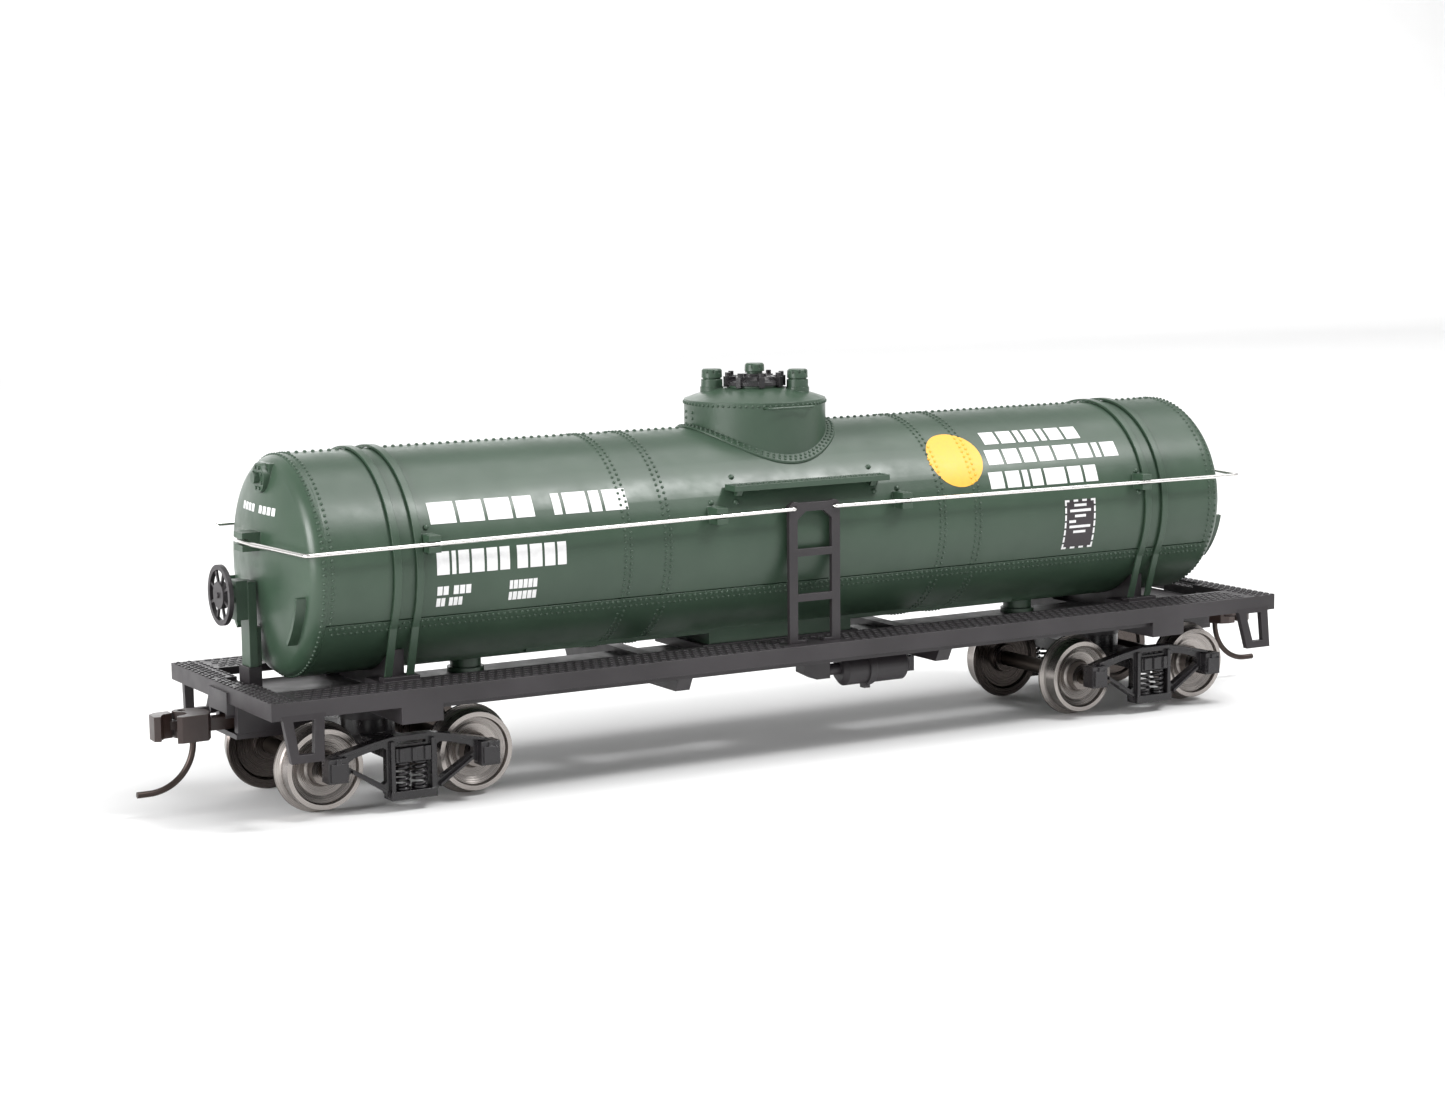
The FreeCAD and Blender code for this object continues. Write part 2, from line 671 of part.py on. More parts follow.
def make_hatch():
    cover = Piece("hatch_cover", at=(0, 0, mm.hatch_seat))
    profile = [(0, 0), (3.6, 0), (3.6, 0.45), (2.7, 0.7), (2.4, 1.05), (1.55, 1.05), (1.55, 1.4), (0, 1.4)]
    cover.turn("XZ", [profile], "Z")
    for k in range(8):
        angle = 45 * k + 28
        lug = [polar(r, angle + a) for r, a in ((2.5, -7), (4.0, -5), (4.0, 5), (2.5, 7))]
        cover.pad("XY", [lug], 0.0, 1.1)
        toe = [polar(r, angle + a) for r, a in ((3.4, -5), (4.0, -5), (4.0, 5), (3.4, 5))]
        cover.pad("XY", [toe], -0.22, 0.1)
        cover.pad("XY", [disc(*polar(3.5, angle), 0.34)], 0.3, 1.6)
    knob = Piece("hatch_knob", at=(0, 0, mm.hatch_seat + 1.4))
    outline = [(0, 0), (1.0, 0), (1.0, 0.25), (1.27, 0.3), (1.22, 1.1), (1.05, 1.3), (0, 1.34)]
    knob.turn("XZ", [outline], "Z")
    notches = [disc(*polar(1.27, 45 * k), 0.14) for k in range(8)]
    knob.cut("XY", notches, 0.7, 1.34)


def make_safety_valve(name, side):
    valve = Piece(name, at=(-side * mm.valve_x, side * mm.valve_y, mm.valve_seat))
    profile = [
        (0, 0),
        (1.38, 0),
        (1.36, 0.95),
        (1.15, 1.0),
        (1.15, 1.12),
        (1.32, 1.17),
        (1.28, 2.1),
        (1.1, 2.26),
        (0, 2.26),
    ]
    valve.turn("XZ", [profile], "Z")
    notches = [disc(*polar(1.28, 36 * k), 0.14) for k in range(10)]
    valve.cut("XY", notches, 1.75, 2.26)


def make_dome_rails():
    """Grab rails on the dome, one each side, with their ends in the dome wall."""
    height = mm.dome_rim.value - 0.6
    rails = []
    for number, side in enumerate((-1, 1)):
        first, last = (side * x for x in GRAB_ENDS)
        points = [(first, side * 8.0, height), (first, side * 9.6, height)]
        points += [(last, side * 9.6, height), (last, side * 8.0, height)]
        shape = sweep(bent_path(points, [0.35, 0.35]), 0.15)
        rails.append(solid(f"dome_rail_wire_{number}", shape, publish=False))
    made = doc.addObject("Part::Compound", "dome_grab_rails")
    made.Label = "dome_grab_rails"
    made.Links = rails
    ALL_PIECES.append(made)


def make_platform(name, turn):
    shelf = Piece(name, turn=turn)
    top = mm.platform_top
    half = mm.platform_half
    shelf.pad("XY", [box(-half, -mm.platform_edge, half, -11.55)], top - 0.7, top)
    shelf.cut("XY", [box(-half + 0.35, -mm.platform_edge + 0.35, half - 0.35, -11.9)], top - 0.1, top)
    for x in (-9.8, 9.8):
        gusset = [(-12.9, top - 0.6), (-11.6, top - 0.6), (-11.95, top - 1.35), (-12.4, top - 1.45)]
        shelf.pad("YZ", [gusset], x - 0.4, x + 0.4)
        shelf.pad("XZ", [disc(x, top - 1.05, 0.25)], -12.3, -10.6)


def make_weight():
    weight = Piece("steel_weight", at=(0, 0, mm.tank_axis))
    weight.pad("XY", [box(-36.0, -6.0, 36.0, 6.0)], -10.2, -6.2)


# ---------------------------------------------------------------- handrail and ladders


def make_handrail(name, side):
    """Half of the wire loop round the tank; both ends turn in through the ladders' eyes."""
    y, end, eye = mm.rail_side.value, mm.rail_end.value, mm.ladder_eye.value
    high = mm.rail_height.value
    left, right = (rail_level(side * mm.rail_end, way).value for way in (-side, side))
    inside = y - 0.75
    apex = end + mm.rail_bow.value + 0.35
    start = [(eye, -inside, high), (eye, -y, high), (end, -y, left)]
    finish = [(end, y, right), (eye, y, high), (eye, inside, high)]
    path = bent_path(start + [(apex, 0, (left + right) / 2)] + finish, [0.4, 0.6, 22.0, 0.6, 0.4])
    solid(name, sweep(path, mm.wire_radius.value), turn=0 if side > 0 else 180)


def make_ladder(name, turn):
    ladder = Piece(name, turn=turn)
    half, rail = mm.ladder_half, 1.2
    foot, eye = mm.deck_top, mm.rail_height
    front, rear = -mm.ladder_face, -mm.ladder_face + mm.ladder_plate
    step = half - rail
    ladder.pad("XZ", [box(-half, foot, half, eye)], front, rear)
    ears = [disc(-mm.ladder_eye, eye, 0.85), disc(mm.ladder_eye, eye, 0.85)]
    ladder.pad("XZ", ears, front, rear)
    ladder.pad("XZ", [box(-mm.ladder_eye, eye - 0.5, mm.ladder_eye, eye + 0.7)], front, rear)
    low_rung, high_rung = foot + 5.2, foot + 10.85
    arch = [
        (-step, high_rung + 0.95),
        (step, high_rung + 0.95),
        (step, eye - 1.4),
        (step - 1.2, eye - 0.4),
        (-step + 1.2, eye - 0.4),
        (-step, eye - 1.4),
    ]
    gaps = [box(-step, foot, step, low_rung), box(-step, low_rung + 0.95, step, high_rung), arch]
    for gap in gaps:
        ladder.cut("XZ", [gap], front, rear)
    holes = [disc(-mm.ladder_eye, eye, mm.wire_radius + 0.06), disc(mm.ladder_eye, eye, mm.wire_radius + 0.06)]
    ladder.cut("XZ", holes, front, rear)
    pins = [disc(-mm.ladder_eye, eye, 0.45), disc(mm.ladder_eye, eye, 0.45)]
    ladder.pad("XZ", pins, rear, -12.75)
    for side in (-1, 1):
        toe = box(side * (step - 1.2), front, side * (step + 0.4), rear + 0.5)
        ladder.pad("XY", [toe], foot, foot + 0.4)


# ---------------------------------------------------------------- brake gear


def make_brake_stand():
    stand = Piece("brake_stand")
    y, z = mm.brake_shaft_y, mm.brake_wheel_height
    stand.pad("XY", [box(-69.0, y - 1.3, -68.0, y + 1.3)], mm.stand_foot, z + 1.4)
    stand.pad("XY", [box(-68.5, y - 0.9, -67.4, y + 0.9)], mm.stand_foot, 21.0)
    stand.pad("XY", [box(-68.9, y - 0.8, -68.3, y + 0.8)], mm.stand_foot - 1.05, mm.stand_foot + 0.5)
    stand.pad("YZ", [box(y - 1.1, z - 3.0, y + 1.4, z + 1.6)], -70.4, -69.0)
    stand.pad("YZ", [disc(y, z, 1.1)], -70.8, -70.3)
    stand.cut("YZ", [disc(y, z, 0.5 + mm.bearing_play)], -70.8, -69.2)


def make_brake_wheel():
    wheel = Piece("brake_wheel", at=(-72.0, mm.brake_shaft_y, mm.brake_wheel_height))
    rim = mm.brake_wheel_radius
    wheel.pad("YZ", [disc(0, 0, 1.6)], -0.2, 0.55)
    for k in range(4):
        angle = 45 * k + 22.5
        reach = rim - 0.35
        lean = math.degrees(math.asin(0.16 / reach.value))
        spoke = [polar(reach, angle + a) for a in (-lean, lean, 180 - lean, 180 + lean)]
        wheel.pad("YZ", [spoke], 0.0, 0.28)
    wheel.pad("YZ", [disc(0, 0, rim), disc(0, 0, rim - 0.6)], -0.12, 0.42)
    wheel.pad("YZ", [disc(0, 0, 0.5)], 0.4, 2.6)
    wheel.pad("YZ", [disc(0, 0, 0.35)], -0.4, 0.0)


def make_reservoir():
    tank = Piece("brake_reservoir", at=(0, -8.0, mm.centre_sill_bottom - 2.2))
    profile = [
        (7.3, 0),
        (7.3, 1.4),
        (7.9, 2.05),
        (10.9, 2.05),
        (10.9, 2.3),
        (11.9, 2.3),
        (11.9, 2.05),
        (16.7, 2.05),
        (17.3, 1.4),
        (17.3, 0),
    ]
    tank.turn("XY", [profile], "X")
    tank.pad("XY", [box(9.2, -1.2, 14.2, 1.2)], 1.2, 2.3)
    tank.pad("XZ", [box(10.95, -2.65, 11.85, -1.5)], -0.5, 0.5)
    valve = [(1.6, 1.6), (1.6, 0.2), (3.4, -0.7), (5.4, -0.7), (5.4, 1.6)]
    tank.pad("XZ", [valve], -1.1, 1.1)
    tank.pad("YZ", [disc(0, 0.2, 0.75)], 5.2, 7.6)
    tank.pad("XY", [box(17.2, -0.9, 18.4, 0.9)], -1.0, 0.9)


# ---------------------------------------------------------------- couplers


def coupler_at(side, z=0):
    return (side * mm.coupler_pivot, 0, z)


def make_coupler(end, side):
    turn = 0 if side > 0 else 180
    low, high = mm.coupler_low, mm.coupler_high
    shank_low, shank_high = low + 0.8, high - 0.8
    slot_low, slot_high = low + 0.95, high - 0.95
    hinge_x, hinge_y = 10.2, -1.6

    body = Piece(f"coupler_{end}", at=coupler_at(side), turn=turn)
    body.pad("XY", [disc(0, 0, 1.9)], shank_low, shank_high)
    body.pad("XY", [box(0.0, -0.85, 8.4, 0.85)], shank_low, shank_high)
    head = [
        (7.6, 0.85),
        (8.4, 2.3),
        (11.6, 2.5),
        (12.1, 2.2),
        (11.9, 1.6),
        (10.8, 1.1),
        (10.3, 0.6),
        (10.3, -0.4),
        (11.2, -1.1),
        (11.3, -1.9),
        (10.8, -2.5),
        (9.6, -2.7),
        (8.4, -2.3),
        (7.6, -0.85),
    ]
    body.pad("XY", [head], low, high)
    body.cut("XY", [box(8.9, -3.0, 11.6, -0.35)], slot_low, slot_high)
    body.cut("XY", [disc(0, 0, 0.95 + mm.bearing_play)], shank_low, shank_high)
    body.cut("XY", [disc(hinge_x, hinge_y, 0.42 + mm.bearing_play)], low, high)
    body.cut("XY", [disc(9.7, 0.5, 0.4)], low, low + 1.1)

    knuckle = Piece(f"knuckle_{end}", at=coupler_at(side), turn=turn)
    tail = [(9.25, -0.95), (10.2, -0.6), (11.8, -0.95), (11.8, -2.45), (10.2, -2.7), (9.3, -2.2)]
    knuckle.pad("XY", [tail], slot_low + 0.1, slot_high - 0.1)
    nose = [
        (11.55, -2.6),
        (13.2, -2.5),
        (14.1, -1.7),
        (14.2, 0.3),
        (13.5, 0.6),
        (13.1, -0.3),
        (12.6, -0.9),
        (11.55, -1.1),
    ]
    knuckle.pad("XY", [nose], low + 0.1, high - 0.1)
    knuckle.pad("XY", [disc(hinge_x, hinge_y, 0.42)], low + 0.2, high - 0.2)

    # Curved trip pin, pressed up into the head.
    bend = bent_path([(9.7, 0.5, low.value + 1.05), (9.7, 0.5, 2.95), (16.6, 0.5, 2.95)], [5.5])
    solid(f"trip_pin_{end}", sweep(bend, 0.37), at=coupler_at(side), turn=turn)

    # Leaf spring that lines the pocket and pushes the shank back to the middle.
    spring = Piece(f"coupler_spring_{end}", at=coupler_at(side), turn=turn)
    leaf = [
        (-2.2, -2.38),
        (3.0, -2.38),
        (4.4, -2.06),
        (4.4, -1.94),
        (3.0, -2.24),
        (-2.06, -2.24),
        (-2.06, 2.24),
        (3.0, 2.24),
        (4.4, 1.94),
        (4.4, 2.06),
        (3.0, 2.38),
        (-2.2, 2.38),
    ]
    spring.pad("XY", [leaf], low + 1.15, high - 1.15)

    lid = Piece(f"coupler_lid_{end}")
    lid_top = low + 0.55
    lid.pad("XY", [box(side * 63.0, -3.5, side * 72.2, 3.5)], lid_top - 0.6, lid_top)
    lid.cut("XY", [disc(side * mm.coupler_pivot, 0, 0.6)], lid_top - 0.6, lid_top)


# ---------------------------------------------------------------- screws


def make_screw(name, x, seat, head_r, head_z, steps):
    """A screw that hangs below its seat height; steps are shank radius and top height."""
    screw = Piece(name, at=(x, 0, seat), publish=False)
    loop = [(0, -head_z), (head_r - 0.1, -head_z), (head_r, -head_z + 0.15), (head_r, 0)]
    below = 0
    for radius, top in steps:
        loop.append((radius, below))
        loop.append((radius, top))
        below = top
    loop.append((0, below))
    screw.turn("XZ", [loop], "Z")
    screw.cut("XY", [box(-head_r, -0.15, head_r, 0.15)], -head_z, -head_z + 0.25)
    return screw


def make_screws():
    ends = (("a", -1), ("b", 1))
    seat = mm.centre_sill_bottom
    tank = [make_screw(f"tank_screw_{e}", s * mm.post_offset, seat, 1.2, 0.6, [(0.7, 7.6)]) for e, s in ends]
    group("tank_screws", tank)
    seat = mm.truck_plate_top - 3.35
    king = [(0.95, 3.35), (0.75, 6.9)]
    truck = [make_screw(f"truck_screw_{e}", s * mm.truck_centre, seat, 1.7, 0.5, king) for e, s in ends]
    group("truck_screws", truck)
    seat = mm.coupler_low - 0.05
    lids = [make_screw(f"lid_screw_{e}", s * mm.coupler_pivot, seat, 1.1, 0.5, [(0.45, 3.9)]) for e, s in ends]
    group("coupler_lid_screws", lids)


# ---------------------------------------------------------------- trucks


def flipped(loop):
    return [(-as_size(a), b) for a, b in loop]


def make_side_frame(name, x, turn):
    frame = Piece(name, at=(x, 0, 0), turn=turn)
    inner, outer = -mm.frame_plane, -mm.frame_plane - mm.frame_plate
    axle, height = mm.axle_offset, mm.flange_radius
    chord = [(2.4, 9.05), (5.0, 8.6), (7.4, 8.05), (9.2, 7.65)]
    strut = [(8.5, 4.7), (7.6, 5.25), (3.4, 2.5), (2.9, 1.6)]
    right = chord + [(10.6, 7.2), (10.7, 4.7)] + strut
    window = [(3.2, 7.55), (3.6, 7.75), (4.9, 7.55), (7.2, 6.95), (7.9, 6.5)]
    window += [(7.9, 6.0), (7.3, 5.65), (3.6, 3.45), (3.2, 3.7)]
    holes = [window, flipped(window), box(-2.3, 2.5, 2.3, 7.6), box(-1.8, 7.9, 1.8, 8.25)]
    frame.pad("XZ", [right + flipped(right)[::-1]] + holes, outer, inner)

    # Raised flanges along the top and bottom chords, and the seat of the springs.
    under = [(a, b - 0.35) for a, b in chord]
    top_flange = chord + under[::-1] + flipped(under) + flipped(chord)[::-1]
    frame.pad("XZ", [top_flange], outer - 0.5, outer + 0.2)
    for side in (-1, 1):
        low_flange = [(side * a, b) for a, b in strut[1:3] + [(3.4, 2.85), (7.6, 5.6)]]
        frame.pad("XZ", [low_flange], outer - 0.5, outer + 0.2)
        column = [(side * a, b) for a, b in ((2.3, 2.2), (2.8, 2.2), (2.8, 8.4), (2.3, 8.4))]
        frame.pad("XZ", [column], outer - 0.5, outer + 0.2)
    frame.pad("XY", [box(-2.9, outer - 0.6, 2.9, inner + 0.6)], 1.5, 2.5)

    # Journal boxes with a lid, blind bores for the axle ends.
    for side in (-1, 1):
        x_box = side * axle
        shell = box(x_box - 1.2, height - 0.95, x_box + 1.2, height + 1.9)
        frame.pad("XZ", [shell], outer - 1.1, inner)
        lid = box(x_box - 0.95, height - 0.7, x_box + 0.95, height + 1.3)
        frame.pad("XZ", [lid], outer - 1.35, outer - 1.0)
        lug = box(x_box - 0.3, height + 1.2, x_box + 0.3, height + 1.8)
        frame.pad("XZ", [lug], outer - 1.3, outer - 1.0)
        frame.cut("XZ", [disc(x_box, height, mm.journal_radius + mm.bearing_play)], inner - 1.3, inner)


def make_truck_bolster(name, x):
    beam = Piece(name, at=(x, 0, 0))
    low, high = mm.truck_plate_top - 3.3, mm.truck_plate_top - 1.65
    beam.pad("XY", [box(-2.2, -13.35, 2.2, 13.35)], low, high)
    beam.pad("XY", [disc(0, 0, 3.3)], high - 0.2, mm.truck_plate_top)
    for side in (-1, 1):
        for rib in (-1.6, 0.0, 1.6):
            face = box(rib - 0.25, side * 13.2, rib + 0.25, side * 13.6)
            beam.pad("XY", [face], low + 0.1, high)
    beam.cut("XY", [disc(0, 0, 0.95 + mm.bearing_play)], low, mm.truck_plate_top)


def make_truck_springs(name, x):
    """Four coil springs that stand on the side frames and carry the bolster."""
    low, high = 2.5, mm.truck_plate_top.value - 3.3
    wire, radius = 0.2, 0.8
    coils = []
    for k, (dx, dy) in enumerate(((-1.12, -12.3), (1.12, -12.3), (-1.12, 12.3), (1.12, 12.3))):
        tall = high - low - 2 * wire
        helix = Part.makeHelix(tall / 4.5, tall, radius)
        section = Part.Wire([Part.makeCircle(wire, Vector(radius, 0, 0), Vector(0, 1, 0))])
        coil = Part.Wire(helix).makePipeShell([section], True, True)
        seats = [ring(radius, wire, 0.0), ring(radius, wire, tall)]
        whole = coil.fuse(seats).removeSplitter()
        spot = (x + dx, dy, low + wire)
        coils.append(solid(f"{name}_{k}", whole, at=spot, publish=False))
    made = doc.addObject("Part::Compound", name)
    made.Label = name
    made.Links = coils
    ALL_PIECES.append(made)


def ring(radius, wire, z):
    return Part.makeTorus(radius, wire, Vector(0, 0, z))


def make_axle(name, x):
    axle = Piece(name, at=(x, 0, mm.flange_radius))
    shoulder = mm.wheel_back + mm.wheel_width + 0.3
    tip = mm.frame_plane + 1.2
    profile = [
        (0, -tip),
        (mm.journal_radius, -tip),
        (mm.journal_radius, -shoulder),
        (mm.axle_radius, -shoulder),
        (mm.axle_radius, shoulder),
        (mm.journal_radius, shoulder),
        (mm.journal_radius, tip),
        (0, tip),
    ]
    axle.turn("XY", [profile], "Y")


def make_wheel(name, x, side):
    """A turned wheel: flange towards the middle of the track, hollowed outer face."""
    wheel = Piece(name, at=(x, 0, mm.flange_radius), turn=0 if side > 0 else 180)
    back, tread, flange = mm.wheel_back, mm.tread_radius, mm.flange_radius
    face = back + mm.wheel_width
    profile = [
        (mm.axle_radius, back - 0.2),
        (1.9, back - 0.2),
        (2.0, back + 0.5),
        (tread - 0.8, back + 0.4),
        (tread - 0.5, back),
        (flange - 0.2, back),
        (flange, back + 0.3),
        (flange - 0.05, back + 0.5),
        (tread + 0.12, back + 0.85),
        (tread, back + 1.1),
        (tread - 0.1, face),
        (tread - 0.65, face),
        (tread - 0.8, face - 0.5),
        (3.2, face - 0.9),
        (2.2, face - 1.15),
        (1.9, face - 0.9),
        (1.75, face + 0.2),
        (mm.axle_radius, face + 0.2),
    ]
    wheel.turn("XY", [profile], "Y")


def make_truck(end, side):
    centre = side * mm.truck_centre
    make_side_frame(f"truck_{end}_side_frame_near", centre, 0)
    make_side_frame(f"truck_{end}_side_frame_far", centre, 180)
    make_truck_bolster(f"truck_{end}_bolster", centre)
    make_truck_springs(f"truck_{end}_springs", centre)
    for where, offset in (("outer", 1), ("inner", -1)):
        x = side * (mm.truck_centre + offset * mm.axle_offset)
        make_axle(f"axle_{end}_{where}", x)
        make_wheel(f"wheel_{end}_{where}_near", x, -1)
        make_wheel(f"wheel_{end}_{where}_far", x, 1)


# ---------------------------------------------------------------- the wagon


make_underframe()
make_tank_shell()
make_tank_bottom()
make_tank_head("tank_head_a", -1)
make_tank_head("tank_head_b", 1)
for end, side in (("a", -1), ("b", 1)):
    make_tank_band(f"tank_band_{end}_outer", side * (mm.truck_centre + mm.strap_offset))
    make_tank_band(f"tank_band_{end}_inner", side * (mm.truck_centre - mm.strap_offset))
make_dome()
make_hatch()
make_safety_valve("safety_valve_a", 1)
make_safety_valve("safety_valve_b", -1)
make_dome_rails()
make_platform("dome_platform_near", 0)
make_platform("dome_platform_far", 180)
make_weight()
make_handrail("handrail_a", -1)
make_handrail("handrail_b", 1)
make_ladder("ladder_near", 0)
make_ladder("ladder_far", 180)
make_brake_stand()
make_brake_wheel()
make_reservoir()
make_coupler("a", -1)
make_coupler("b", 1)
make_screws()
make_truck("a", -1)
make_truck("b", 1)
doc.recompute()

for item in doc.Objects:
    if "Invalid" in item.State or "Error" in item.State:
        raise RuntimeError(f"{item.Label} did not build: {item.State}")
for item in ALL_PIECES:
    if item.Shape.isNull() or not item.Shape.isValid():
        raise RuntimeError(f"{item.Label} has no valid shape")

os.makedirs("parts", exist_ok=True)
for item in ALL_PIECES:
    item.Shape.exportStep(os.path.join("parts", f"{item.Label}.step"))
print(len(ALL_PIECES), "pieces written")
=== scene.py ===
import json
import math

import bpy
from mathutils import Matrix, Vector


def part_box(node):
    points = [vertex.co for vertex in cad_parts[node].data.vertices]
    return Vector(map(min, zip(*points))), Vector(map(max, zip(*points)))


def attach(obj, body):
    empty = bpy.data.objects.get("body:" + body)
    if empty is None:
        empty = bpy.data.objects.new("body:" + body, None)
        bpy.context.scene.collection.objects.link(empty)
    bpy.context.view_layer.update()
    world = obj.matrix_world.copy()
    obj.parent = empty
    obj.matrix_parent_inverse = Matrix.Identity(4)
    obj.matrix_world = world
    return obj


# Looks of the model tank wagon.  Sizes are in millimetres in the CAD frame, and MM turns them into
# metres: +X along the wagon, +Z up, z = 0 under the wheel flanges, the brake wheel at the -X end.
# Only the stage and the lights are in metres.  Named angles are in degrees.

MM = 0.001
TAU = 2 * math.pi

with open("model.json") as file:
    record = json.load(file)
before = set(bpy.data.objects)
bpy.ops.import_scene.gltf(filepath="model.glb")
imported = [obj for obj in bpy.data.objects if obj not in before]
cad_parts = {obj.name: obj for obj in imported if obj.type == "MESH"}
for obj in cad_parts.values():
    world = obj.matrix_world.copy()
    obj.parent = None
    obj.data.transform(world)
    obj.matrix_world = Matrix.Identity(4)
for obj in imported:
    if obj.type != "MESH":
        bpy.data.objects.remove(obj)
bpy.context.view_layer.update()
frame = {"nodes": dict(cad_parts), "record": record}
nodes = frame["nodes"]

TANK_AXIS = 28.03
TANK_RADIUS = 13.1
BARREL_HALF = 64.2
HEAD_DISH = 40.0
HEAD_KNUCKLE = 2.0
SEAM_ANGLE = -26.2
DOME_RADIUS = 9.0
DOME_RIM = 44.4


# ---------------------------------------------------------------- node materials

MOTTLE_SIZE = 9.0
PAINT_GRAIN_SIZE = 0.12
PAINT_GRAIN_DEPTH = 0.004
EDGE_RADIUS = 0.12
METAL_GRAIN_SIZE = 0.3
METAL_GRAIN_DEPTH = 0.003
LATHE_RING_SIZE = 0.16
LATHE_RING_DEPTH = 0.014
HUB_HOLLOW_RADIUS = 2.0
INK_GRAIN_SIZE = 0.6
INK_GRAIN_DEPTH = 0.002


class Look:
    """A procedural material under construction."""

    def __init__(self, name):
        self.material = bpy.data.materials.new(name)
        self.material.use_nodes = True
        self.tree = self.material.node_tree
        self.shader = self.tree.nodes["Principled BSDF"]
        self.place = self.node("TexCoord").outputs["Object"]

    def node(self, kind, **settings):
        made = self.tree.nodes.new(f"ShaderNode{kind}")
        for key, value in settings.items():
            setattr(made, key, value)
        return made

    def link(self, output, socket):
        self.tree.links.new(output, socket)

    def feed(self, socket, value):
        """A socket takes another node's output or a plain value."""
        if isinstance(value, bpy.types.NodeSocket):
            self.link(value, socket)
        else:
            socket.default_value = value

    def noise(self, size_mm, detail=3.0, where=None):
        made = self.node("TexNoise")
        made.inputs["Scale"].default_value = 1 / (size_mm * MM)
        made.inputs["Detail"].default_value = detail
        self.link(where or self.place, made.inputs["Vector"])
        return made.outputs["Fac"]

    def span(self, value, low, high, to_low=0.0, to_high=1.0):
        made = self.node("MapRange")
        self.feed(made.inputs["Value"], value)
        for key, number in zip(("From Min", "From Max", "To Min", "To Max"), (low, high, to_low, to_high)):
            made.inputs[key].default_value = number
        return made.outputs["Result"]

    def math(self, operation, *values):
        made = self.node("Math", operation=operation)
        for socket, value in zip(made.inputs, values):
            self.feed(socket, value)
        return made.outputs["Value"]

    def mix(self, factor, first, second):
        made = self.node("Mix", data_type="RGBA")
        self.feed(made.inputs[0], factor)
        for socket, value in ((made.inputs[6], first), (made.inputs[7], second)):
            self.feed(socket, (*value, 1) if isinstance(value, tuple) else value)
        return made.outputs[2]

    def axes(self):
        made = self.node("SeparateXYZ")
        self.link(self.place, made.inputs[0])
        return made.outputs

    def facing(self):
        """The surface normal along the object's own axes."""
        made = self.node("SeparateXYZ")
        self.link(self.node("TexCoord").outputs["Normal"], made.inputs[0])
        return made.outputs

    def edges(self, radius_mm):
        """Rounded shading normals, and how near a sharp edge each point is."""
        bevel = self.node("Bevel", samples=4)
        bevel.inputs["Radius"].default_value = radius_mm * MM
        plain = self.node("NewGeometry").outputs["Normal"]
        dot = self.node("VectorMath", operation="DOT_PRODUCT")
        self.link(bevel.outputs["Normal"], dot.inputs[0])
        self.link(plain, dot.inputs[1])
        return bevel.outputs["Normal"], self.span(dot.outputs["Value"], 0.99, 0.8)

    def bump(self, height, depth_mm, normal=None):
        made = self.node("Bump")
        made.inputs["Distance"].default_value = depth_mm * MM
        self.feed(made.inputs["Height"], height)
        if normal is not None:
            self.link(normal, made.inputs["Normal"])
        return made.outputs["Normal"]

    def finish(self, colour, roughness, metallic=0.0, normal=None, specular=0.5):
        inputs = self.shader.inputs
        if isinstance(colour, tuple):
            colour = (*colour, 1)
        self.feed(inputs["Base Color"], colour)
        self.feed(inputs["Roughness"], roughness)
        inputs["Metallic"].default_value = metallic
        inputs["Specular IOR Level"].default_value = specular
        if normal is not None:
            self.link(normal, inputs["Normal"])
        return self.material


def moulded(name, deep, pale, rough, edge_highlight):
    """Moulded and painted plastic: slight mottle, fine grain, and rounded edges with a painted highlight
    along them.
    """
    look = Look(name)
    mottle = look.span(look.noise(MOTTLE_SIZE, 4.0), 0.35, 0.65)
    colour = look.mix(mottle, deep, pale)
    normal, edge = look.edges(EDGE_RADIUS)
    # Painted highlight: near a sharp edge the colour is lightened, by the given share, to stand in for the
    # light that edges catch.
    highlight_tone = tuple(min(1.0, 2.2 * c + 0.02) for c in pale)
    colour = look.mix(look.math("MULTIPLY", edge, edge_highlight), colour, highlight_tone)
    fine = look.noise(PAINT_GRAIN_SIZE, 2.0)
    roughness = look.span(look.noise(2.5, 4.0), 0.3, 0.7, rough - 0.06, rough + 0.06)
    return look.finish(colour, roughness, normal=look.bump(fine, PAINT_GRAIN_DEPTH, normal))


def turned_metal(name, centre_x, axle_z):
    """Turned nickel silver with fine rings round the axle, dark on the back of the wheel."""
    look = Look(name)
    x, y, z = look.axes()
    dx = look.math("SUBTRACT", x, centre_x * MM)
    dz = look.math("SUBTRACT", z, axle_z * MM)
    reach = look.math("SQRT", look.math("ADD", look.math("MULTIPLY", dx, dx), look.math("MULTIPLY", dz, dz)))
    combine = look.node("CombineXYZ")
    look.link(reach, combine.inputs[0])
    rings = look.noise(LATHE_RING_SIZE, 3.0, combine.outputs[0])
    tone = look.mix(rings, (0.20, 0.18, 0.17), (0.50, 0.465, 0.44))
    inward = look.math("MULTIPLY", look.facing()[1], look.math("SIGN", y))
    back = look.span(inward, -0.3, -0.1, 0.85, 0.0)
    hollow = look.span(reach, (HUB_HOLLOW_RADIUS - 0.1) * MM, (HUB_HOLLOW_RADIUS + 0.1) * MM, 0.55, 0.0)
    colour = look.mix(look.math("MAXIMUM", back, hollow), tone, (0.045, 0.034, 0.03))
    roughness = look.span(rings, 0.3, 0.7, 0.2, 0.36)
    return look.finish(colour, roughness, 0.95, look.bump(rings, LATHE_RING_DEPTH))


def metal(name, colour, rough):
    """Bare or blackened metal with a fine grain."""
    look = Look(name)
    grain = look.noise(METAL_GRAIN_SIZE, 3.0)
    tone = look.mix(grain, tuple(0.8 * c for c in colour), colour)
    roughness = look.span(grain, 0.3, 0.7, rough - 0.05, rough + 0.05)
    return look.finish(tone, roughness, 1.0, look.bump(grain, METAL_GRAIN_DEPTH))


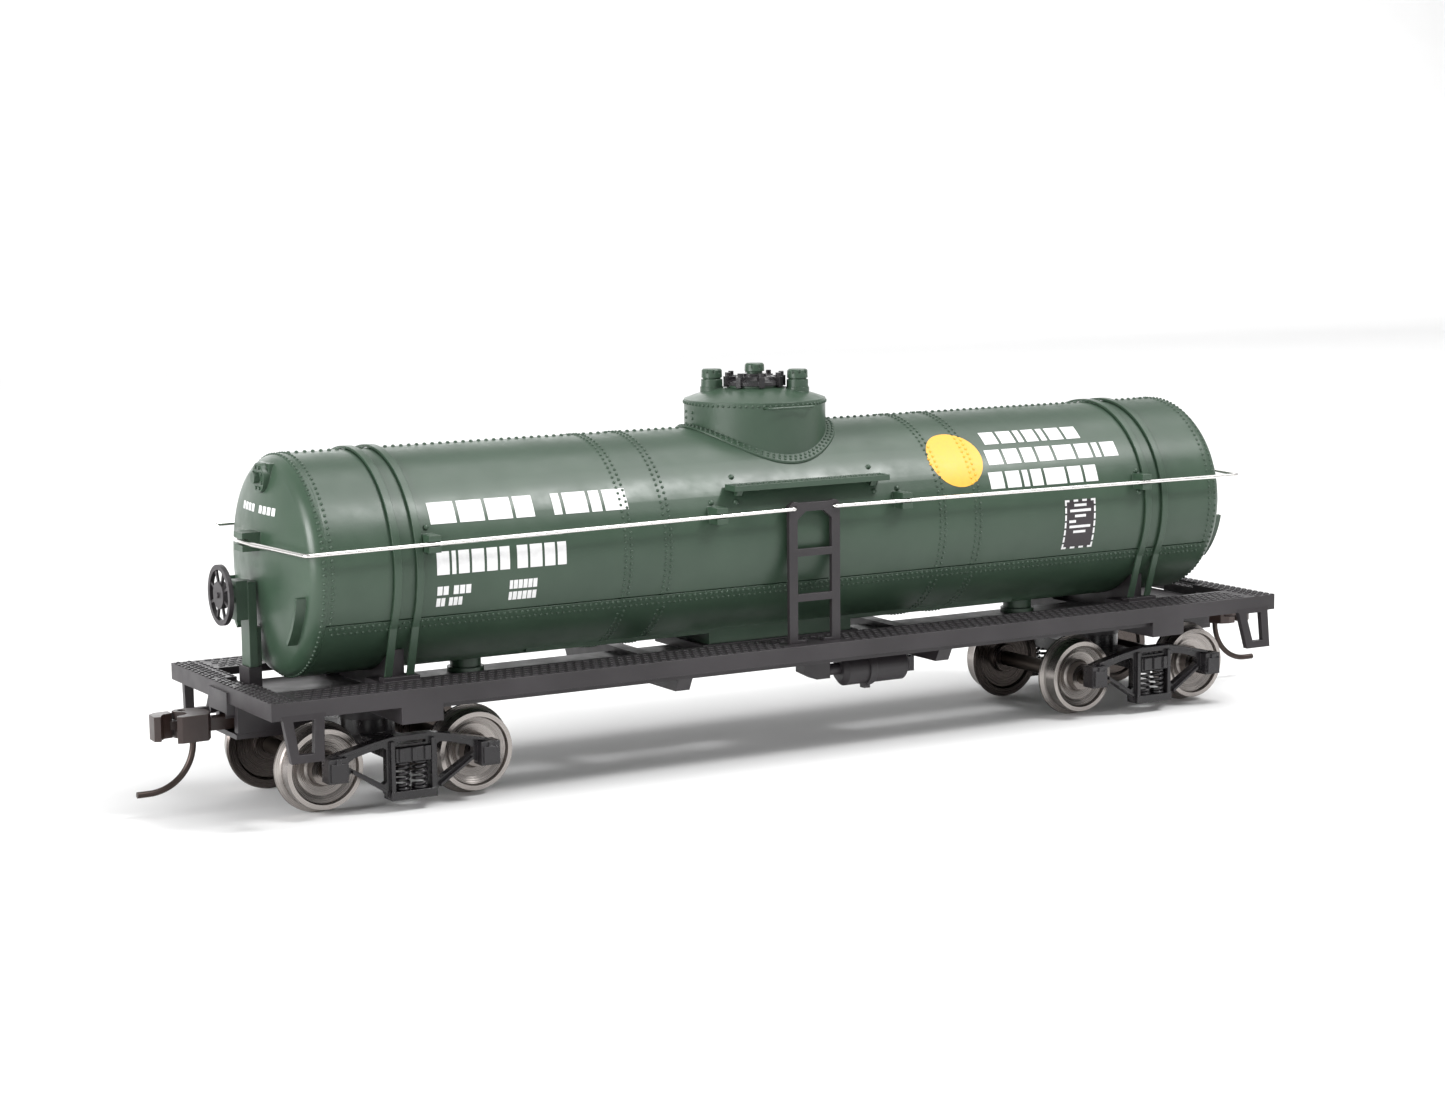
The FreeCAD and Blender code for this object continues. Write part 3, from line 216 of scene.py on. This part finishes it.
def ink(name, colour):
    """Printed marking: flat ink with a little unevenness."""
    look = Look(name)
    patch = look.noise(INK_GRAIN_SIZE, 4.0)
    tone = look.mix(look.span(patch, 0.3, 0.7), tuple(0.9 * c for c in colour), colour)
    return look.finish(tone, look.span(patch, 0.3, 0.7, 0.42, 0.52), normal=look.bump(patch, INK_GRAIN_DEPTH))


# The last number of each look is the strength of its painted highlight along the edges.
green = moulded("tank_green", (0.030, 0.058, 0.036), (0.038, 0.070, 0.044), 0.36, edge_highlight=0.18)
black = moulded("frame_black", (0.019, 0.016, 0.018), (0.028, 0.024, 0.027), 0.44, edge_highlight=0.3)
# Near-black look for the flat strips between tread rows: painted shade in the grooves.
groove_shade_black = moulded("painted_groove_shade", (0.007, 0.006, 0.007), (0.010, 0.009, 0.010), 0.6, edge_highlight=0.0)
gloss_black = moulded("truck_black", (0.010, 0.009, 0.010), (0.016, 0.014, 0.016), 0.28, edge_highlight=0.15)
brown = moulded("coupler_brown", (0.022, 0.013, 0.012), (0.040, 0.023, 0.019), 0.36, edge_highlight=0.3)
wire = metal("bright_wire", (0.86, 0.84, 0.82), 0.22)
dark_wire = metal("dark_wire", (0.07, 0.055, 0.05), 0.4)
steel = metal("plain_steel", (0.45, 0.44, 0.43), 0.4)
dark_steel = metal("dark_steel", (0.085, 0.07, 0.06), 0.42)
bronze = metal("bronze", (0.55, 0.36, 0.18), 0.35)
white_ink = ink("white_ink", (0.82, 0.82, 0.82))
amber_ink = ink("amber_ink", (0.84, 0.45, 0.04))
black_ink = ink("black_ink", (0.030, 0.024, 0.028))

SLOT_LOOKS = {
    "tank_green": green,
    "band_green": green,
    "hatch_black": gloss_black,
    "wire_steel": wire,
    "frame_black": black,
    "brake_wheel_black": black,
    "weight_steel": steel,
    "screw_steel": steel,
    "coupler_metal": brown,
    "pin_metal": dark_wire,
    "spring_bronze": bronze,
    "truck_black": gloss_black,
    "spring_black": gloss_black,
    "axle_metal": dark_steel,
}


def dress_cad_nodes():
    """Give each CAD node the look of its material slot; each wheel has rings of its own."""
    slots = {part["node"]: part["material_slot"] for part in frame["record"]["subparts"]}
    for name, node in nodes.items():
        slot = slots[name]
        if slot == "wheel_metal":
            low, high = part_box(name)
            middle = (low + high) / 2
            look = turned_metal(f"turned_{name}", middle.x / MM, middle.z / MM)
        else:
            look = SLOT_LOOKS[slot]
        node.data.materials.clear()
        node.data.materials.append(look)


# ---------------------------------------------------------------- mesh helpers


def piece(name, vertices, faces, look, body, slot, smooth=True):
    mesh = bpy.data.meshes.new(name)
    mesh.from_pydata([tuple(c * MM for c in v) for v in vertices], [], faces)
    mesh.polygons.foreach_set("use_smooth", [smooth] * len(mesh.polygons))
    mesh.materials.append(look)
    mesh.update()
    made = bpy.data.objects.new(name, mesh)
    bpy.context.scene.collection.objects.link(made)
    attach(made, body)
    return made


def on_tank(x, degrees, lift=0.0):
    """A point on the near side of the tank and its normal; 90 degrees is the top."""
    angle = math.radians(degrees)
    normal = Vector((0, -math.cos(angle), math.sin(angle)))
    return Vector((x, 0, TANK_AXIS)) + normal * (TANK_RADIUS + lift), normal


def domes(spots, radius, height):
    """Low round heads, one at each (point, normal)."""
    around, vertices, faces = 8, [], []
    rings = [(1.0, -0.15), (0.92, 0.45), (0.6, 0.85)]
    for point, normal in spots:
        side = normal.orthogonal().normalized()
        other = normal.cross(side)
        first = len(vertices)
        for share, up in rings:
            for k in range(around):
                turn = TAU * k / around
                out = side * math.cos(turn) + other * math.sin(turn)
                vertices.append(point + out * (radius * share) + normal * (height * up))
        vertices.append(point + normal * height)
        for ring in range(len(rings) - 1):
            for k in range(around):
                a = first + ring * around + k
                b = first + ring * around + (k + 1) % around
                faces.append((a, b, b + around, a + around))
        top = first + around * (len(rings) - 1)
        for k in range(around):
            faces.append((top + k, top + (k + 1) % around, first + around * len(rings)))
    return vertices, faces


def on_head(side, degrees, radius):
    """A point on a tank head's rounded edge, at a radius beyond the dish, and its normal."""
    out = radius - (TANK_RADIUS - HEAD_KNUCKLE)
    along = math.sqrt(HEAD_KNUCKLE**2 - out**2)
    angle = math.radians(degrees)
    radial = Vector((0, -math.cos(angle), math.sin(angle)))
    normal = (radial * out + Vector((side * along, 0, 0))) / HEAD_KNUCKLE
    return Vector((side * (BARREL_HALF + along), 0, TANK_AXIS)) + radial * radius, normal


def on_flange(half_x, half_y, degrees):
    """A point on the dome's oval flange, which follows the barrel, and its normal."""
    x, y = half_x * math.cos(math.radians(degrees)), half_y * math.sin(math.radians(degrees))
    height = math.sqrt((TANK_RADIUS + FLANGE_THICKNESS) ** 2 - y**2)
    return Vector((x, y, TANK_AXIS + height)), Vector((0, y, height)).normalized()


def on_dome(degrees, z):
    normal = Vector((math.cos(math.radians(degrees)), math.sin(math.radians(degrees)), 0))
    return normal * DOME_RADIUS + Vector((0, 0, z)), normal


def steps(low, high, pitch, shift=0.0):
    """Evenly spaced values from low to high, moved on by a share of the pitch."""
    count = int((high - low) / pitch - shift) + 1
    return [low + (k + shift) * pitch for k in range(count)]


def joined(parts):
    vertices, faces = [], []
    for part_vertices, part_faces in parts:
        first = len(vertices)
        vertices += part_vertices
        faces += [tuple(first + i for i in face) for face in part_faces]
    return vertices, faces


def block(x, y, z, length, width, height):
    """A small block that stands on height z."""
    corners = ((-1, -1), (1, -1), (1, 1), (-1, 1))
    low = [(x + a * length / 2, y + b * width / 2, z) for a, b in corners]
    high = [(a, b, z + height) for a, b, _ in low]
    walls = [(k, (k + 1) % 4, 4 + (k + 1) % 4, 4 + k) for k in range(4)]
    return low + high, walls + [(4, 5, 6, 7)]


# ---------------------------------------------------------------- rivets and bolts

PITCH = 0.76
ROW_GAP = 0.75
RING_SEAMS = (-25.6, -20.1, 20.1, 25.6)
BARREL_END_ROW = 63.7
HEAD_ROW_RADIUS = 13.03
RIDGE_PITCH = 1.02
RIDGE_GAP_HALF = 10.9
FLANGE_THICKNESS = 0.25
FLANGE_ROWS = ((9.4, 9.22), (9.98, 9.55))
DOME_JOINT_ANGLES = (164.0, 178.0)
DOME_JOINT_FOOT = 41.4
PLATFORM_BOLTS = ((-9.8, 36.4), (10.3, 36.4), (-10.1, 21.9), (10.1, 21.9))
MIDDLE_POST = 13.6
END_POST = 51.7
RIVET = {"radius": 0.2, "height": 0.17}
ROUNDEL_RIVET = {"radius": 0.21, "height": 0.19}
RIDGE_RIVET = {"radius": 0.26, "height": 0.24}
BOLT = {"radius": 0.36, "height": 0.3}
TANK_TURN = math.degrees(PITCH / TANK_RADIUS)
UPPER = (SEAM_ANGLE + 1.5, 180 - SEAM_ANGLE - 1.5)
LOWER = (180 - SEAM_ANGLE + 8.0, 360 + SEAM_ANGLE - 8.0)


def ring_rivets():
    """Zigzag double rows round the barrel, carried on round the bottom sheet."""
    spots = []
    for seam in RING_SEAMS:
        for row in (0, 1):
            x = seam + (row - 0.5) * ROW_GAP
            spots += [on_tank(x, degrees) for degrees in steps(*UPPER, TANK_TURN, row / 2)]
            spots += [on_tank(x, degrees, lift=0.03) for degrees in steps(*LOWER, TANK_TURN, row / 2)]
    return spots


def seam_rivets():
    """Double rows just below each edge of the bottom sheet."""
    spots = []
    for row, drop in enumerate((1.7, 4.9)):
        for x in steps(-BARREL_HALF + 0.6, BARREL_HALF - 0.6, PITCH, row / 2):
            for degrees in (SEAM_ANGLE - drop, 180 - SEAM_ANGLE + drop):
                spots.append(on_tank(x, degrees, lift=0.05))
    return spots


def head_rivets():
    """One row on the barrel and one on the head, beside the joint between them."""
    spots = []
    for side in (-1, 1):
        spots += [on_tank(side * BARREL_END_ROW, degrees) for degrees in steps(*UPPER, TANK_TURN)]
        spots += [on_head(side, degrees, HEAD_ROW_RADIUS) for degrees in steps(0, 360, TANK_TURN, 0.5)]
    return spots


def dome_rivets():
    """Rows round the dome's rim and foot, on its flange and beside its upright joint."""
    spots = []
    wall_turn = math.degrees(PITCH / DOME_RADIUS)
    for degrees in steps(0, 360 - wall_turn / 2, wall_turn):
        spots.append(on_dome(degrees, DOME_RIM - 0.4))
    for row, (half_x, half_y) in enumerate(FLANGE_ROWS):
        flange_turn = 360 / round(360 / math.degrees(PITCH / half_x))
        spots += [on_flange(half_x, half_y, degrees) for degrees in steps(0, 359, flange_turn, row / 2)]
    for degrees in DOME_JOINT_ANGLES:
        spots += [on_dome(degrees, z) for z in steps(DOME_JOINT_FOOT, DOME_RIM - 1.0, PITCH)]
    return spots


def in_roundel(spot):
    """Whether a rivet stands on the amber disc, and so is amber too."""
    point = spot[0]
    angle = math.degrees(math.atan2(point.z - TANK_AXIS, -point.y))
    across = math.radians(angle - ROUNDEL_ANGLE) * TANK_RADIUS
    return math.hypot(point.x - ROUNDEL_X, across) < ROUNDEL_RADIUS


def both_sides(spots):
    """The same spots again, turned half a turn round the wagon's middle."""
    half_turn = Matrix.Rotation(math.pi, 3, "Z")
    return spots + [(half_turn @ point, half_turn @ normal) for point, normal in spots]


def make_rivets():
    rings = ring_rivets()
    marked = [spot for spot in rings if in_roundel(spot)]
    plain = [spot for spot in rings if not in_roundel(spot)]
    small = plain + seam_rivets() + head_rivets()
    piece("barrel_rivets", *domes(small, **RIVET), green, "wagon", "tank_green")
    piece("roundel_rivets", *domes(marked, **ROUNDEL_RIVET), amber_ink, "wagon", "tank_green")
    piece("dome_rivets", *domes(dome_rivets(), **RIVET), green, "wagon", "tank_green")
    along = steps(-BARREL_HALF + 0.8, BARREL_HALF - 0.8, RIDGE_PITCH)
    ridge = [on_tank(x, 90.0) for x in along if abs(x) > RIDGE_GAP_HALF]
    piece("ridge_rivets", *domes(ridge, **RIDGE_RIVET), green, "wagon", "tank_green")


def make_bolts():
    """Bolt heads round the dome platforms and above and below the handrail's posts."""
    spots = [on_tank(x, degrees) for x, degrees in PLATFORM_BOLTS]
    spots += [on_tank(x, 22.5) for x in (-MIDDLE_POST, MIDDLE_POST)]
    spots += [on_tank(x, degrees) for x in (-END_POST, END_POST) for degrees in (21.5, 9.0)]
    piece("tank_bolts", *domes(both_sides(spots), **BOLT), green, "wagon", "tank_green")


# ---------------------------------------------------------------- treads

DECK_TOP = 14.9
TREAD_PITCH = 1.15
TREAD_ROWS = 5
BOARD_HALF = 68.4
LADDER_HALF = 4.6
SADDLE_START = 51.0
SADDLE_END = 57.8
GUTTER_MIDDLE = 36.5
TREAD_ROW_GAP = 1.2
OUTER_TREAD_ROW = 15.5
WALKWAY_ROWS = (69.8, 70.65, 71.4, 72.05, 72.6)
WALKWAY_HALF = 15.9
WALKWAY_DIP_END = 71.0
WALKWAY_DIP_HALF = 2.9
WALKWAY_DIP_DEPTH = 0.45
PLATFORM_TOP = 35.0
PLATFORM_ROWS = (13.2, 12.6)
PLATFORM_TREAD_HALF = 10.6
PLATFORM_TREAD_PITCH = 0.8
LOZENGE = {"length": 0.72, "width": 0.46, "height": 0.08}
GUTTER = {"length": 64.0, "width": 0.4, "height": 0.01}
WALKWAY_STUD = {"length": 0.3, "width": 0.55, "height": 0.1}
PLATFORM_STUD = {"length": 0.42, "width": 0.22, "height": 0.12}


def board_studs():
    """Raised lozenges in staggered rows along both running boards."""
    parts = []
    for row in range(TREAD_ROWS):
        reach = OUTER_TREAD_ROW - row * TREAD_ROW_GAP
        for x in steps(-BOARD_HALF, BOARD_HALF, TREAD_PITCH, row / 2 % 1):
            ladder_foot = abs(x) < LADDER_HALF and reach > 12.5
            saddle = SADDLE_START < abs(x) < SADDLE_END and reach < 11.0
            if not ladder_foot and not saddle:
                parts += [block(x, y, DECK_TOP, **LOZENGE) for y in (-reach, reach)]
    return parts


def board_groove_shade():
    """Very dark flat strips between the rows of lozenges: painted shade standing in for the grooves there."""
    parts = []
    for row in range(TREAD_ROWS - 1):
        reach = OUTER_TREAD_ROW - (row + 0.5) * TREAD_ROW_GAP
        for side in (-1, 1):
            for middle in (-GUTTER_MIDDLE, GUTTER_MIDDLE):
                parts.append(block(middle, side * reach, DECK_TOP, **GUTTER))
    return parts


def walkway_studs():
    """Small raised studs and toothed edges on the end walkways, lower in the dip over the coupler."""
    parts = []
    for row, along in enumerate(WALKWAY_ROWS):
        for y in steps(-WALKWAY_HALF, WALKWAY_HALF, TREAD_PITCH, row % 2 / 2):
            dipped = abs(y) < WALKWAY_DIP_HALF and along < WALKWAY_DIP_END
            low = DECK_TOP - WALKWAY_DIP_DEPTH if dipped else DECK_TOP
            if abs(abs(y) - WALKWAY_DIP_HALF) > 0.3:
                parts += [block(x, y, low, **WALKWAY_STUD) for x in (-along, along)]
    return parts


def platform_studs():
    """Two rows of small studs on each dome platform."""
    parts = []
    for row, reach in enumerate(PLATFORM_ROWS):
        for x in steps(-PLATFORM_TREAD_HALF, PLATFORM_TREAD_HALF, PLATFORM_TREAD_PITCH, row / 2):
            parts += [block(x, y, PLATFORM_TOP, **PLATFORM_STUD) for y in (-reach, reach)]
    return parts


def make_treads():
    studs = board_studs() + walkway_studs()
    piece("tread_studs", *joined(studs), black, "wagon", "frame_black", smooth=False)
    # Flat near-black strips between the tread rows: painted shade in the grooves.
    piece("tread_groove_shade", *joined(board_groove_shade()), groove_shade_black, "wagon", "frame_black", smooth=False)
    piece("platform_studs", *joined(platform_studs()), green, "wagon", "tank_green", smooth=False)


# ---------------------------------------------------------------- markings

ROUNDEL_X = 23.75
ROUNDEL_ANGLE = 38.0
ROUNDEL_RADIUS = 4.1
INK_LIFT = 0.03
TOP_INK_LIFT = 0.05
PANEL_LEFT = 39.5
PANEL_RIGHT = 44.3


def patch(x0, x1, low, high, lift=INK_LIFT):
    """A thin rectangle of the tank's surface, from x0 to x1 and between two angles."""
    across = max(2, int((high - low) / 2))
    vertices, faces = [], []
    for k in range(across + 1):
        degrees = low + (high - low) * k / across
        for x in (x0, x1):
            vertices.append(on_tank(x, degrees, lift)[0])
    for k in range(across):
        a = 2 * k
        faces.append((a, a + 1, a + 3, a + 2))
    return vertices, faces


def round_patch(x, degrees, radius):
    """A round patch of the tank's surface."""
    around, rings = 48, 8
    vertices = [on_tank(x, degrees, INK_LIFT)[0]]
    for ring in range(1, rings + 1):
        for k in range(around):
            turn = TAU * k / around
            reach = radius * ring / rings
            shift = math.degrees(reach * math.sin(turn) / TANK_RADIUS)
            vertices.append(on_tank(x + reach * math.cos(turn), degrees + shift, INK_LIFT)[0])
    faces = [(0, 1 + k, 1 + (k + 1) % around) for k in range(around)]
    for ring in range(rings - 1):
        for k in range(around):
            a, b = 1 + ring * around + k, 1 + ring * around + (k + 1) % around
            faces.append((a, a + around, b + around, b))
    return vertices, faces


def bars(x0, x1, low, high, widths, gap=0.4):
    """A row of plain blocks whose widths are shares of the row's length; a negative one is a space."""
    scale = (x1 - x0) / (sum(abs(width) for width in widths) + gap * (len(widths) - 1))
    parts, x = [], x0
    for width in widths:
        if width > 0:
            parts.append(patch(x, x + width * scale, low, high))
        x += (abs(width) + gap) * scale
    return parts


def head_bars(side):
    """A row of small blocks, with one space in it, low on the upper half of a tank head."""
    space, half_width, low, high = 4, 0.42, 34.4, 35.3
    dish_start = math.sqrt((HEAD_DISH - HEAD_KNUCKLE) ** 2 - (TANK_RADIUS - HEAD_KNUCKLE) ** 2)
    parts = []
    for k, middle in enumerate(steps(-5.2, 5.2, 1.16)):
        if k == space:
            continue
        y0, y1 = side * (middle - half_width), side * (middle + half_width)
        corners = [(y, z) for z in (low, high) for y in (y0, y1)]
        vertices = []
        for y, z in corners:
            radius = math.hypot(y, z - TANK_AXIS)
            x = math.sqrt(HEAD_DISH**2 - radius**2) - dish_start
            vertices.append((side * (BARREL_HALF + x + INK_LIFT), y, z))
        parts.append((vertices, [(0, 1, 3, 2)]))
    return parts


def dashed_frame(x0, x1, low, high):
    """A dashed outline just inside a rectangle of the tank's surface."""
    dash, edge = 0.75, 0.28
    thick = math.degrees(edge / TANK_RADIUS)
    tall = math.degrees(dash / TANK_RADIUS)
    count = round((high - low) / (1.5 * tall))
    pitch = (high - low - tall) / count
    parts = []
    for k in range(count + 1):
        start = low + k * pitch
        for x in (x0, x1 - edge):
            parts.append(patch(x, x + edge, start, start + tall, TOP_INK_LIFT))
    for x in steps(x0, x1 - dash + 0.05, (x1 - x0 - dash) / 3):
        for start in (low, high - thick):
            parts.append(patch(x, x + dash, start, start + thick, TOP_INK_LIFT))
    return parts


def near_marks():
    """White blocks on the near side, where a real wagon carries its owner's and load marks."""
    parts = bars(-51.0, -25.0, 22.7, 34.6, [3.1, 3, 3, 2.3, -1.6, 1.0, 2.9, 1.3, 2.9])
    parts += bars(-50.8, -34.0, -3.3, 8.6, [1.5, 0.5, 1.3, 1.5, 1.3, 1.2, -0.3, 1.3, 1.5, 1.3, 1.1], 0.3)
    for low, high, left, right in ((-14.0, -9.3, -46.4, -37.8), (-20.2, -15.6, -47.4, -37.8)):
        parts += bars(-50.7, left, low, high, [1, 1, -0.6, 1, 1, 1], 0.2)
        parts += bars(-41.4, right, low, high, [0.8, 1, 1, 1, 1, 1], 0.2)
    parts += bars(29.3, 44.8, 45.5, 55.0, [2, 2, 0.8, 1.7, 0.8, 2, 2])
    parts += bars(28.6, 49.7, 31.8, 41.5, [2, 2, 1.7, 2, 2.6, 2, 0.8, 2])
    parts += bars(28.0, 45.3, 17.5, 27.3, [2, 2, 0.8, 1.6, 3, 2, 1.8])
    return parts


def panel_bars():
    """Small bars inside the dark panel, one below the other."""
    spans = ((1.4, 3.4), (0.7, 4.1), (1.5, 3.3), (0.6, 1.7), (0.7, 4.1), (1.4, 3.4))
    top, drop, tall = 5.2, 3.1, 1.5
    parts = []
    for k, (left, right) in enumerate(spans):
        high = top - drop * k
        parts.append(patch(PANEL_LEFT + left, PANEL_LEFT + right, high - tall, high, TOP_INK_LIFT))
    return parts


def turned_round(part):
    """The same part on the far side, turned half a turn round the wagon's middle."""
    vertices, faces = part
    return [(-x, -y, z) for x, y, z in vertices], faces


def make_markings():
    """Plain blocks stand where a real wagon carries words and a badge; both sides are alike."""
    frame_marks = dashed_frame(PANEL_LEFT - 0.1, PANEL_RIGHT + 0.1, -21.4, 7.7)
    white = near_marks() + frame_marks + panel_bars() + head_bars(-1)
    panel = [patch(PANEL_LEFT, PANEL_RIGHT, -21.1, 7.4)]
    roundel = [round_patch(ROUNDEL_X, ROUNDEL_ANGLE, ROUNDEL_RADIUS)]
    for name, parts, look in (
        ("white_marks", white, white_ink),
        ("dark_panels", panel, black_ink),
        ("amber_roundels", roundel, amber_ink),
    ):
        everywhere = parts + [turned_round(part) for part in parts]
        piece(name, *joined(everywhere), look, "wagon", "tank_green")


# ---------------------------------------------------------------- stage, light and camera

WORLD_STRENGTH = 0.55
CAMERA_PLACE = (-189.52, -314.85, 75.06)
CAMERA_YAW = 30.378
CAMERA_PITCH = -7.946
CAMERA_ROLL = -0.551
CAMERA_LENS = 72.13
SENSOR_WIDTH = 36.0


def make_stage():
    """A pale floor that curves up into a wall behind the wagon."""
    floor_look = Look("pale_floor")
    soft = floor_look.noise(60.0, 2.0)
    tone = floor_look.mix(soft, (0.80, 0.80, 0.80), (0.83, 0.83, 0.83))
    material = floor_look.finish(tone, 0.9, specular=0.1)
    mesh = bpy.data.meshes.new("floor")
    size, rise, depth, bend, bend_steps = 3.0, 3.0, 2.0, 0.8, 12
    profile = [(-size, 0.0)]
    for k in range(bend_steps + 1):
        turn = math.radians(90 * k / bend_steps)
        profile.append((depth + bend * math.sin(turn), bend - bend * math.cos(turn)))
    profile.append((depth + bend, rise))
    vertices = [(x, y, z) for y, z in profile for x in (-size, size)]
    faces = [(2 * k, 2 * k + 1, 2 * k + 3, 2 * k + 2) for k in range(len(profile) - 1)]
    mesh.from_pydata(vertices, [], faces)
    mesh.polygons.foreach_set("use_smooth", [True] * len(mesh.polygons))
    mesh.materials.append(material)
    floor = bpy.data.objects.new("floor", mesh)
    bpy.context.scene.collection.objects.link(floor)


def make_light(name, where, aim, size, watts):
    """A soft white rectangular lamp at one place, aimed at another."""
    lamp = bpy.data.lights.new(name, "AREA")
    lamp.shape = "RECTANGLE"
    lamp.size, lamp.size_y = size
    lamp.energy = watts
    made = bpy.data.objects.new(name, lamp)
    made.location = where
    made.rotation_euler = (Vector(aim) - Vector(where)).to_track_quat("-Z", "Y").to_euler()
    bpy.context.scene.collection.objects.link(made)


def make_lights():
    world = bpy.data.worlds.new("studio")
    world.use_nodes = True
    world.node_tree.nodes["Background"].inputs["Color"].default_value = (1, 1, 1, 1)
    world.node_tree.nodes["Background"].inputs["Strength"].default_value = WORLD_STRENGTH
    bpy.context.scene.world = world
    make_light("overhead", (0.3, -0.1, 0.9), (0, 0, 0.02), (0.9, 0.7), 6)
    make_light("left", (-0.9, -0.1, 0.3), (0, 0, 0.03), (0.5, 0.4), 9)
    make_light("right", (0.5, -0.5, 0.8), (0, 0, 0.03), (0.2, 0.2), 6)
    make_light("backdrop", (0.5, 1.2, 1.2), (0.8, 2.8, 0.4), (2.0, 0.6), 70)
    bpy.context.scene.view_settings.view_transform = "Standard"


def make_camera():
    yaw, pitch, roll = (math.radians(a) for a in (CAMERA_YAW, CAMERA_PITCH, CAMERA_ROLL))
    ahead = Vector((math.sin(yaw) * math.cos(pitch), math.cos(yaw) * math.cos(pitch), math.sin(pitch)))
    level = Vector((math.cos(yaw), -math.sin(yaw), 0))
    above = level.cross(ahead)
    right = level * math.cos(roll) + above * math.sin(roll)
    up = above * math.cos(roll) - level * math.sin(roll)
    lens = bpy.data.cameras.new("camera")
    lens.sensor_width = SENSOR_WIDTH
    lens.lens = CAMERA_LENS
    lens.clip_start, lens.clip_end = 0.01, 20.0
    camera = bpy.data.objects.new("camera", lens)
    camera.matrix_world = Matrix.LocRotScale(
        Vector(CAMERA_PLACE) * MM,
        Matrix((right, up, -ahead)).transposed(),
        None,
    )
    bpy.context.scene.collection.objects.link(camera)
    bpy.context.scene.camera = camera


dress_cad_nodes()
make_rivets()
make_bolts()
make_treads()
make_markings()
make_stage()
make_lights()
make_camera()
